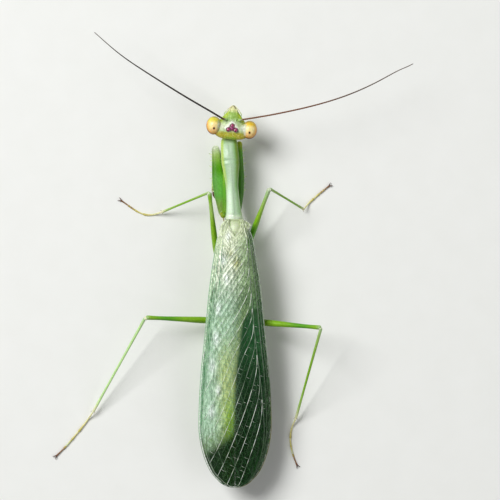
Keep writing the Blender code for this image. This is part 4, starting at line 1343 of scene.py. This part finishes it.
def fore_paint(side, x, y):
    """Colour and cover of a fore wing. across is the place over the whole animal, towards its left."""
    across, own = SIDES[side] * x, MARGINS[side][0](y) - x
    from_left = MARGINS["left"][0](y) - across
    rim_tint, rim_share, rim_cover = RIM_LIT_AND_SHADED[side]
    root = (1 - ease(y, 11.0, 12.6 + 1.6 * ease(across, -0.8, 0.8))) * (1 - 0.7 * ease(-across, 0.7, 1.3))
    strip = bell(across - through((20, 24, 27, 30), (0.5, 0.85, 0.75, 0.6), y), 0.72)
    strip = strip * ease(y, 20.0, 24.0)
    # A painted sheen: the whitish share where the left half of the wings reflects the light.
    painted_sheen = ease(across, through((12, 16, 18, 20.5, 24), (-2.6, -2.2, -1.5, -0.9, -0.2), y), 1.0)
    painted_sheen = painted_sheen * (1 - 0.25 * ease(y, 15.5, 18.5)) * (1 - 0.35 * strip)
    past = past_body(across, y)
    painted_sheen = painted_sheen * (1 - 0.75 * ease(past, -2.2, -0.7)) * (1 - ease(past, -0.7, 0.3))
    if side == "right":
        painted_sheen = painted_sheen * (1 - 0.8 * (1 - ease(own, 0.1, 0.8)) * ease(y, 13.5, 15.5))
    painted_sheen = painted_sheen * (1 - 0.55 * bell(from_left - 0.33, 0.16) * ease(y, 16, 19))
    rim = (1 - ease(own, 0.15, 0.8)) * (1 - (side == "left") * ease(y, 20.0, 26.0))
    mark = bell(np.abs(across + 0.12) / 0.48 + np.abs(y - 14.2) / 0.8, 0.85)
    mark = np.maximum(mark, 0.7 * bell(np.hypot(across - 0.45, (y - 13.3) / 1.2), 0.28))
    bright = sum(bell(np.hypot(across - at, (y - along) / 2.2), size) for at, along, size in GLARE)
    # Painted light and shade: the pale greens and the white GLARE spots are painted sheen and reflection on
    # the lit left; the darker greens towards the back and on the right, and the dark green past the body's
    # end, are painted shade.
    pale = coats("#EDF4DC", ("#CBECCF", ease(y, 14, 19)))
    sap = coats("#E2F6AE", ("#B6E048", ease(y, 25.5, 28.0) * ease(-across, -1.2, -0.4)))
    colour = coats(
        "#B4D79C",
        ("#3C7A46", ease(y, 15.5, 20.0)),
        ("#1C4A22", ease(y, 21.0, 25.0)),
        (pale, ease(across, -1.3, 0.6)),
        (sap, strip),
        ("#D3DCB4", 0.8 * root),
        (rim_tint, rim_share * rim),
        ("#1A4418", 0.85 * ease(past, -0.9, 0.5)),
        ("#A9AC50", 0.75 * mark),
        ("#EDF3F0", 0.8 * np.clip(bright, 0, 1)))
    cover = 0.012 + (0.3 + 0.26 * ease(-y, -17.5, -14.5)) * painted_sheen + 0.5 * root + 0.3 * mark + 0.3 * bright
    cover = cover + rim_cover * rim * (1 - painted_sheen)
    # painted shade along the right wing's front part
    cover = cover + (side == "right") * 0.12 * (1 - painted_sheen) * ease(y, 14, 18) * ease(-across, 0.9, 1.6)
    return colour, np.clip(cover, 0, 0.9)


def fore_sheet(side, columns=96, rows=190):
    """The membrane of one fore wing, its columns closer together towards both edges."""
    y = rows_to_tip(FORE_START, TIP, FORE_END, rows)
    outer, inner = (edge(y)[:, None] for edge in MARGINS[side])
    turn = np.pi * np.linspace(0, 1, columns)
    x = inner + (outer - inner) * (0.5 - 0.5 * np.cos(turn) * (1 - 0.25 * np.sin(turn)))
    y = np.broadcast_to(y[:, None], x.shape)
    z = sheet_height(side, x, y, LEVEL[side], fore_ripple(x, y))
    colour, cover = fore_paint(side, x, y)
    return flat_tube("fore_sheet", SIDES[side], x, y, z, SHEET_THICK, colour, 0.3, cover)


# %% [markdown]
# ## The net
#
# A branch runs beside the stem before it leaves it. With d its level line's distance inside the stem,
# it is drawn at w·ln(1 + e^(d / w)), which is d when d is large and nearly nothing beyond the stem; w
# is 0.26 mm. Weak branches begin a little later than strong ones. A cross-vein leaves branch n and
# climbs to branch n + 1 along the gradient of F: its step is the gradient divided by its own square and
# times the rise in level. All the veins of one kind are one array of tubes, cut where they leave the
# sheet.

# %% Veins
def on_sheet(side, x, y, lift=0.0):
    """Places on the upper side of a fore wing, from X towards its own side and y."""
    z = sheet_height(side, x, y, LEVEL[side], fore_ripple(x, y)) + lift
    return np.stack([SIDES[side] * x, y, z], axis=-1)


def drawn_x(side, level, y):
    """Where a branch is drawn: its level line, bent to run beside the stem."""
    stem = stems(side, y)[3]
    return stem - 0.26 * np.log1p(np.exp((stem - branch_x(level, y)) / 0.26))


def branch_paths(side, rows=44):
    """X and y along every branch, from the stem to the inner margin, as (branches, rows)."""
    y = np.linspace(FORE_START, FORE_END - 0.06, 900)
    level = branch_level(BRANCHES)[:, None]
    stem, inner = stems(side, y)[3], MARGINS[side][1](y)
    line = branch_x(level, y)
    inside = (stem - line > -0.5) & (line > inner + 0.03)
    found = inside.any(axis=1)
    first = y[inside[found].argmax(axis=1)]
    last = y[len(y) - 1 - inside[found][:, ::-1].argmax(axis=1)]
    first = first + 0.12 * (last - first) * (BRANCHES[found] % 2)
    at = first[:, None] + (last - first)[:, None] * np.linspace(0, 1, rows)
    return drawn_x(side, level[found], at), at, BRANCHES[found]


def cross_paths(side, pitch=0.34, rows=4):
    """Cross-veins as (veins, rows) of X and y, staggered from band to band and a little uneven."""
    _, y, number = branch_paths(side)
    slots = np.arange(int((y[:, -1] - y[:, 0]).max() / pitch) + 1)
    uneven = dice.uniform(-0.22, 0.22, (len(number), len(slots)))
    start = y[:, :1] + pitch * (slots + 0.5 * (number[:, None] % 2) + uneven)
    low, high = branch_level(number)[:, None], branch_level(number + 1)[:, None]
    slope_x, slope_y = 1 + 2 * SWEEP * branch_x(low, start), np.interp(start, NET_Y, NET_SLOPE)
    end = start + slope_y * (high - low) / (slope_x**2 + slope_y**2)
    share = np.linspace(0, 1, rows)
    foot_x, head_x = (drawn_x(side, level, at)[..., None] for level, at in ((low, start), (high, end)))
    across = foot_x + (head_x - foot_x) * share
    along = start[..., None] + (end - start)[..., None] * share
    along = along + 0.04 * np.sin(np.pi * share) * dice.choice([-1, 1], start.shape)[..., None]
    whole = (start < y[:, -1:]) & (across[..., -1] < stems(side, along[..., -1])[3] - 0.05)
    whole &= across.min(axis=-1) > MARGINS[side][1](along[..., 0]) + 0.03
    whole &= along[..., -1] < FORE_END - 0.1
    return across[whole], along[whole]


def ladder(side, lower, upper, pitch, lean, rows=4):
    """Short oblique veins between two of the long ones."""
    y = np.arange(FORE_START + 0.35, FORE_END - 0.9, pitch)
    y = y + dice.uniform(-0.2, 0.2, len(y)) * pitch
    share = np.linspace(0, 1, rows)
    along = y[:, None] + lean * share
    pair = stems(side, along)
    return pair[lower] + (pair[upper] - pair[lower]) * share, along


def join(*parts):
    """Several (points, squares, fans) as one."""
    starts = np.cumsum([0] + [len(points) for points, _, _ in parts[:-1]])
    return (np.vstack([points for points, _, _ in parts]),
            np.vstack([squares + start for start, (_, squares, _) in zip(starts, parts)]),
            np.vstack([fans + start for start, (_, _, fans) in zip(starts, parts)]))


# Radii of the three stems at the root, of strong and weak branches, of a cross-vein and of the edges.
STEM_SIZES, BRANCH_SIZES, TIE_SIZE = (0.026, 0.04, 0.034), (0.026, 0.016), 0.012
FRONT_EDGE, HIND_EDGE = 0.048, 0.02
# How strongly stems, weak branches and cross-veins stand out beside a strong branch: partly painted
# highlight, weaker on the shaded right wing.
STRENGTHS = {"left": (0.26, 0.2, 0.08), "right": (0.18, 0.1, 0.025)}
EDGE_STRENGTH = 0.35
GLINT_SHARE = 0.11  # one cross-vein in nine has a bright glint at its middle


def edge_loop(side):
    """The vein round a wing's edge, as rings: thick in front, thinner towards the tip and behind."""
    y = rows_to_tip(FORE_START, TIP, FORE_END - 0.004, 200)
    outer, inner = (edge(y) for edge in MARGINS[side])
    x = np.concatenate([outer - 0.02, inner[::-1] + 0.015])
    line = on_sheet(side, x, np.concatenate([y, y[::-1]]), -0.01)
    size = np.concatenate([[HIND_EDGE], FRONT_EDGE - 0.022 * ease(y, 12, 34), np.full(len(y), HIND_EDGE),
                           [FRONT_EDGE]])
    return tube_rings(np.vstack([line[-1:], line, line[:1]]), size, size, 6)[1:-1]


def vein_net(side):
    """All veins of one fore wing, and how strongly each point stands out."""
    y = np.linspace(FORE_START, FORE_END - 0.25, 240)
    long_x = stems(side, y)[1:]
    trunk_size = np.array(STEM_SIZES)[:, None] * np.linspace(1, 0.45, len(y))
    long_lines = on_sheet(side, long_x, np.broadcast_to(y, long_x.shape))
    trunks = tube_rings(long_lines, trunk_size, trunk_size, 6)
    x, y, number = branch_paths(side)
    size = np.where(number % 2, BRANCH_SIZES[1], BRANCH_SIZES[0])[:, None]
    size = size * np.linspace(1, 0.65, x.shape[1])
    branches = tube_rings(on_sheet(side, x, y), size, size, 5)
    ties = [cross_paths(side), ladder(side, 1, 0, 0.3, 0.16), ladder(side, 2, 1, 0.42, 0.05),
            ladder(side, 3, 2, 0.5, 0.12)]
    tie_x, tie_y = (np.vstack([tie[i] for tie in ties]) for i in (0, 1))
    crosses = tube_rings(on_sheet(side, tie_x, tie_y, 0.004), TIE_SIZE, TIE_SIZE, 4)
    parts = [close_rings(trunks), close_rings(branches), close_rings(crosses),
             close_loop(edge_loop(side))]
    stem_strength, weak_strength, tie_strength = STRENGTHS[side]
    # Painted broken highlights along each branch.
    highlight_dashes = dice.uniform(0, 1, y.shape)
    highlight_dashes = 0.2 + 0.8 * ease((highlight_dashes + np.roll(highlight_dashes, 1, axis=1)) / 2, 0.35, 0.62)
    weight = np.where(number % 2, weak_strength, 1.0)[:, None] * highlight_dashes
    band = ease(y, 18.5, 20.5) * (1 - ease(y, 25.0, 27.0)) * ease(-SIDES[side] * x, 0.3, 0.8)
    weight = weight * (1 - 0.75 * band * (number % 4 == 0)[:, None])
    ring = np.concatenate([np.repeat(weight, 5, axis=1), weight[:, :1], weight[:, -1:]], axis=1)
    glints = np.full((len(tie_x), len(parts[2][0]) // len(tie_x)), tie_strength)
    glints[dice.uniform(0, 1, len(tie_x)) < GLINT_SHARE, 4:9] = 1.0
    strong = np.concatenate([np.full(len(parts[0][0]), stem_strength), ring.ravel(), glints.ravel(),
                             np.full(len(parts[3][0]), EDGE_STRENGTH)])
    print(f"{side} net: {len(number)} branches, {len(tie_x)} cross-veins")
    return join(*parts), strong


# %% [markdown]
# ## Clear membrane
#
# Wing membrane is bare chitin a few thousandths of a millimetre thick. It lets most light through, so
# each side of the sheet covers only a share of what lies below, read from an attribute and varied by
# streaks of 0.16 mm and clouds of 0.45 mm. What it does show is shine, on a surface that is crumpled
# between the veins: the bump has grains of 0.14 mm and of 0.05 mm.

# %% Membrane and vein finishes
def membrane(name, bump=0.5, shine=0.5, patchy=(0.35, 2.0)):
    """Clear chitin whose cover is multiplied by a factor between the two values of patchy."""
    material, tree, shader = finish(name, {
        "IOR": 1.56, "Specular IOR Level": shine, "Coat Weight": 0.2 * shine, "Coat Roughness": 0.15})
    paint, cover, gloss = (add(tree, "ShaderNodeAttribute", attribute_name=n)
                           for n in ("paint", "cover", "rough"))
    crumple, fine = grain(tree, 0.14), grain(tree, 0.05, 1.0)
    streak, cloud = grain(tree, 0.16, 2.0, (1, 0.25, 1)), grain(tree, 0.45)
    low, high = patchy
    patch = add(tree, "ShaderNodeMapRange",
                {"From Min": 0.4, "From Max": 0.62, "To Min": low, "To Max": high},
                {"Value": streak.outputs[0]})
    pool = add(tree, "ShaderNodeMapRange",
               {"From Min": 0.38, "From Max": 0.6, "To Min": low**0.4, "To Max": high**0.4},
               {"Value": cloud.outputs[0]})
    uneven = add(tree, "ShaderNodeMath", links={0: pool.outputs[0], 1: patch.outputs[0]},
                 operation="MULTIPLY")
    share = add(tree, "ShaderNodeMath", links={0: cover.outputs["Fac"], 1: uneven.outputs[0]},
                operation="MULTIPLY", use_clamp=True)
    height = add(tree, "ShaderNodeMath", {1: 2.0}, {0: crumple.outputs[0], 2: fine.outputs[0]},
                 operation="MULTIPLY_ADD")
    relief = add(tree, "ShaderNodeBump", {"Strength": bump, "Distance": 0.012 * MM},
                 {"Height": height.outputs[0]})
    for socket, source in (("Base Color", paint.outputs["Color"]), ("Roughness", gloss.outputs["Fac"]),
                           ("Alpha", share.outputs[0]), ("Normal", relief.outputs[0])):
        tree.links.new(source, shader.inputs[socket])
    return material


def vein_paint(side, points, strong):
    """Painted shade and light: dim over the dark hind wing and on the shaded right, paler over the body
    and on the lit left, and bright where a vein stands out.
    """
    across, y = points[:, 0], points[:, 1]
    own = MARGINS[side][0](y) - SIDES[side] * across
    bright = hue("#EDF6E6") if side == "right" else coats("#3E6B46", ("#CFE8CC", ease(across, 0.6, 2.2)))
    return coats(
        "#123C16",
        ("#86B08E", ease(across, -0.9, 1.0) * (1 - ease(y, 28, 31))),
        (bright, strong),
        ("#DCE3C8", 0.7 * (1 - ease(y, 11.5, 14)) * ease(across, -1.5, -0.7)),
        ("#243E1C", 0.75 * (1 - ease(own, 0.3, 0.9)) * ease(y, 22, 26) * (across < 0)),
        ("#8C7A46", 0.6 * (1 - ease(own, 0.0, 0.12)) * ease(y, 25, 29) * (across < 0)))


fore_membrane = membrane("clear_fore_membrane", bump=0.6, shine=0.3)
vein_cuticle = cuticle("pale_vein_cuticle", mottle=0.1, bump=0.3, coat=0.04, shine=0.2)
for side in SIDES:
    show("fore_wing_" + side, fore_sheet(side), fore_membrane, "wing", "forewing_" + side, crease=80)
    (points, squares, fans), strong = vein_net(side)
    net = make_mesh("net", points, squares, fans, vein_paint(side, points, strong), 0.3)
    show("vein_net_" + side, net, vein_cuticle, "wing", crease=80)

# %% [markdown]
# ## Hind wings
#
# A hind wing is a fan, folded along the body under the fore wings in long narrow pleats. Through the
# fore wings it shows as a dark smoky green with fine lengthwise lines, clearer where the pale abdomen
# lies under it. Most of that dark is painted shade, standing in for the shaded ground seen through clear
# wings, and the lighter green on the left is painted light. It is the same flat tube, with a zigzag of
# 0.04 mm across and its ridges painted lighter.

# %% Hind wings
PLEAT = 0.24


def hind_sheet(side, columns=110, rows=120):
    """One folded hind wing, painted dark smoky green, most of it painted shade, lighter on the lit left,
    with the pale body that shows through.
    """
    sign = SIDES[side]
    y = rows_to_tip(HIND_START, TIP, FORE_END - 0.08, rows)
    outer = MARGINS[side][0](y)
    outer = outer - 0.14 * np.clip(outer, 0, 1)
    x = 0.01 + (outer[:, None] - 0.01) * np.linspace(0, 1, columns)
    y = np.broadcast_to(y[:, None], x.shape)
    fold = np.abs((x / PLEAT + 0.02 * (y - 12)) % 1 - 0.5) * 2
    z = sheet_height(side, x, y, -0.2, 0.04 * (fold - 0.5))
    across = sign * x
    right_edge = through((16, 18.2, 19.6, 21.6, 22.9, 24.3, 26.5, 29.2),
                         (-1.7, -1.35, -0.65, -0.36, -0.2, -0.04, 0.06, 0.14), y)
    left_edge = through((24, 27, 29, 32), (1.7, 1.7, 2.6, 3.0), y)
    over_body = ease(across - right_edge, -0.2, 0.2) * ease(left_edge - across, -0.3, 0.3)
    over_body = over_body * (1 - ease(past_body(across, y), -0.9, 0.3))
    thorax = bell(across + 0.15, 1.25) * (1 - ease(y, 16.0, 19.0))
    shown = np.maximum(over_body * ease(y, 16.5, 19.5), thorax)
    mark = bell(np.abs(across + 0.15) / 0.5 + np.abs(y - 14.4) / 0.95, 0.75)
    mark = np.maximum(mark, 0.7 * bell(np.hypot(across - 0.5, (y - 13.7) / 1.3), 0.26))
    # Dark green that grows darker towards the tip: mostly painted shade, standing in for the shaded ground
    # seen through clear wings.
    smoke_and_shade = through((16, 18, 21, 24, 27, 31),
                    scale_of(("#3E7640", "#33663A", "#20562C", "#0F3A17", "#08290B", "#072606")), y)
    tints = ("#E9F2D2", "#D0F2AC", "#CEE68A", "#96C82E", "#5C8430")
    body = through((12, 18, 24, 28, 31), scale_of(tints), y)
    colour = coats(
        smoke_and_shade,
        # painted light: lighter green on the lit left
        ("#4A8A58", ease(across, -0.1, 1.4) * (1 - ease(y, 28, 31))),
        ("#4C6B33", 0.8 * (1 - ease(y, 13.5, 19.0))),
        (body, shown),
        ("#A79A2E", 0.8 * mark),
        ("#5C9460", 0.12 * ease(fold, 0.82, 0.97)))
    cover = (0.95 - 0.2 * shown) * ease(y, 12.3, 13.6)
    return flat_tube("hind_sheet", sign, x, y, z, SHEET_THICK, colour, 0.38, cover)


hind_membrane = membrane("smoky_and_shaded_hind_membrane", bump=0.2, shine=0.06, patchy=(0.94, 1.05))
for side in SIDES:
    show("hind_wing_" + side, hind_sheet(side), hind_membrane, "wing", "hindwing_" + side, crease=80)

# %% [markdown]
# ## Wing roots
#
# A fore wing hangs on the thorax by a few small hard plates, and its front edge begins in a knob. From
# above they are the shoulders behind the shield: cream, crumpled, and cloudy. On this animal the right
# one stands out a little. Each is a plate that lies on the root of its sheet, with ridges that spread
# like a fan from the hinge.

# %% Wing roots
HINGE_X, HINGE_Y = 0.35, 9.9
# Half width of each plate at seven marks, the depth of its ridges, and how far its end is cut back outside.
ROOTS = {"left": ((0.66, 0.93, 1.1, 1.26, 1.34, 1.42, 1.52), 0.014, 0.0),
         "right": ((0.62, 0.92, 1.24, 1.5, 1.34, 1.22, 1.26), 0.045, 0.75)}


def wing_root(side, rows=70, columns=56):
    """The plate of one shoulder. Its ridges are the sine of the angle round the hinge."""
    wide, depth, cut_back = ROOTS[side]
    y = 10.24 + 1.9 * np.linspace(0, 1, rows) ** 1.15
    outer = through((10.24, 10.36, 10.56, 10.76, 10.98, 11.3, 12.14), wide, y)
    inner = through((10.24, 10.8, 12.14), (0.36, 0.42, 1.2), y)
    share = np.linspace(0, 1, columns)
    x = inner[:, None] + (outer - inner)[:, None] * share
    y = np.broadcast_to(y[:, None], x.shape)
    angle, reach = np.arctan2(x - HINGE_X, y - HINGE_Y), np.hypot(x - HINGE_X, y - HINGE_Y)
    crumple = depth * np.sin(26 * angle + 3 * reach) * ease(reach, 0.3, 0.8)
    crumple = crumple + 0.6 * depth * np.sin(9 * x + 13 * y) * np.sin(11 * x - 7 * y)
    fade = ease(-y, -12.1, -11.3)
    z = sheet_height(side, x, y, LEVEL[side]) + 0.02
    z = z + (0.05 + 0.06 * bell(x - outer[:, None] + 0.12, 0.14) + crumple) * fade
    z = z - 0.14 * (1 - ease(share, 0.0, 0.35)) * fade
    # Paler on the crumple's ridges and darker in its folds: painted light and shade.
    tint = coats("#B4C490", ("#CFDABA", ease(crumple, -0.03, 0.035)),
                 ("#E4ECD2", 0.7 * ease(share, 0.84, 0.98)),
                 ("#A9BF72", 0.4 * (1 - ease(share, 0.0, 0.3))))
    end = 12.12 - cut_back * ease(share, 0.3, 0.7)
    return flat_tube("root", SIDES[side], x, y, z, 0.06, tint, 0.36, 0.97 * ease(-y, -end, 0.6 - end))


root_plate = membrane("crumpled_root_plate", bump=0.5)
for side in SIDES:
    show("wing_root_" + side, wing_root(side), root_plate, "wing", crease=70)


def back_plate(rows=60, columns=60):
    """The cream plate between the shoulders: level in front, with a raised boss, narrow behind."""
    y = np.linspace(10.12, 12.3, rows)[:, None]
    reach = through((10.12, 10.3, 10.7, 11.3, 12.3), (0.45, 0.66, 0.78, 0.7, 0.45), y)
    share = np.linspace(-1, 1, columns)
    x = 0.1 * ease(-y, -10.8, -10.2) + reach * share
    y = np.broadcast_to(y, x.shape)
    boss, seam = 0.07 * bell(np.hypot(x / 0.42, (y - 11.0) / 0.55), 0.75), bell(y - 10.42, 0.05)
    z = 3.47 + 0.12 * ease(y, 10.8, 11.4) - 0.12 * (x / 0.75) ** 2
    z = z + boss - 0.03 * seam + 0.02 * bell(y - 10.32, 0.05)
    z = z + 0.012 * np.sin(14 * x + 3 * y) * ease(np.abs(share), 0.4, 0.9)
    # The darker seam is a joint; the paler boss and the darker sides, which lie under the wing roots, are
    # painted light and shade.
    tint = coats("#BFCDA2", ("#CEDBB4", ease(boss, 0.01, 0.06)),
                 ("#A2B078", 0.6 * seam + 0.4 * ease(np.abs(share), 0.6, 1.0)))
    return flat_tube("back", 1, x, y, z, 0.08, tint, 0.36, 1.0)


show("back_plate", back_plate(), cuticle("cream_back_plate", mottle=0.1, bump=0.3), "trunk")

# %% [markdown]
# ## Floor, light and camera
#
# The model stands on a plain pale floor under soft light: one wide lamp high on the animal's left, a
# weaker one on its right to open the shadows, and a little light from all round. The camera looks
# straight down with a long lens, 45 mm of floor across its view.

# %% Floor, light and camera
FLOOR_HALF = 0.6
VIEW_MIDDLE = np.array([-1.35, 13.02])  # the place in own millimetres that the camera stands over
CAMERA_HEIGHT, LENS = 0.9, 718

floor_mesh = bpy.data.meshes.new("floor")
floor_corners = [(x * FLOOR_HALF, y * FLOOR_HALF, 0) for x, y in ((-1, -1), (1, -1), (1, 1), (-1, 1))]
floor_mesh.from_pydata(floor_corners, [], [(0, 1, 2, 3)])
floor = bpy.data.objects.new("floor", floor_mesh)
bpy.context.collection.objects.link(floor)
paper, tree, shader = finish("matt_studio_paper", {"Roughness": 0.95, "IOR": 1.3})
fibre = grain(tree, 2.5, 4.0)
tone = add(tree, "ShaderNodeMix", {"A": (*hue("#E6E7E3"), 1), "B": (*hue("#EBECE9"), 1)},
           {"Factor": fibre.outputs[0]}, data_type="RGBA")
tree.links.new(tone.outputs["Result"], shader.inputs["Base Color"])
floor_mesh.materials.append(paper)


def lamp(name, place, size, power):
    """A square area lamp at a place in metres, turned to face the animal."""
    light = bpy.data.lights.new(name, "AREA")
    light.size, light.energy = size, power
    holder = bpy.data.objects.new(name, light)
    holder.location = place
    holder.rotation_euler = mathutils.Vector(place).to_track_quat("Z", "Y").to_euler()
    bpy.context.collection.objects.link(holder)


lamp("key_light", (0.22, -0.16, 0.32), 0.2, 1.85)
lamp("fill_light", (-0.3, 0.12, 0.25), 0.3, 0.4)
world = bpy.data.worlds.new("studio")
world.use_nodes = True
sky = world.node_tree.nodes["Background"]
sky.inputs["Color"].default_value = (1, 1, 1, 1)
sky.inputs["Strength"].default_value = 0.17
bpy.context.scene.world = world

view = bpy.data.cameras.new("camera")
view.sensor_width, view.lens = 36, LENS
view.clip_start, view.clip_end = 0.01, 10
view.dof.use_dof = False
camera = bpy.data.objects.new("camera", view)
camera.location = (*((VIEW_MIDDLE + HOME[:2]) * MM), CAMERA_HEIGHT)
camera.rotation_euler = (0, 0, math.pi)
bpy.context.collection.objects.link(camera)
bpy.context.scene.camera = camera
bpy.context.scene.view_settings.view_transform = "Standard"
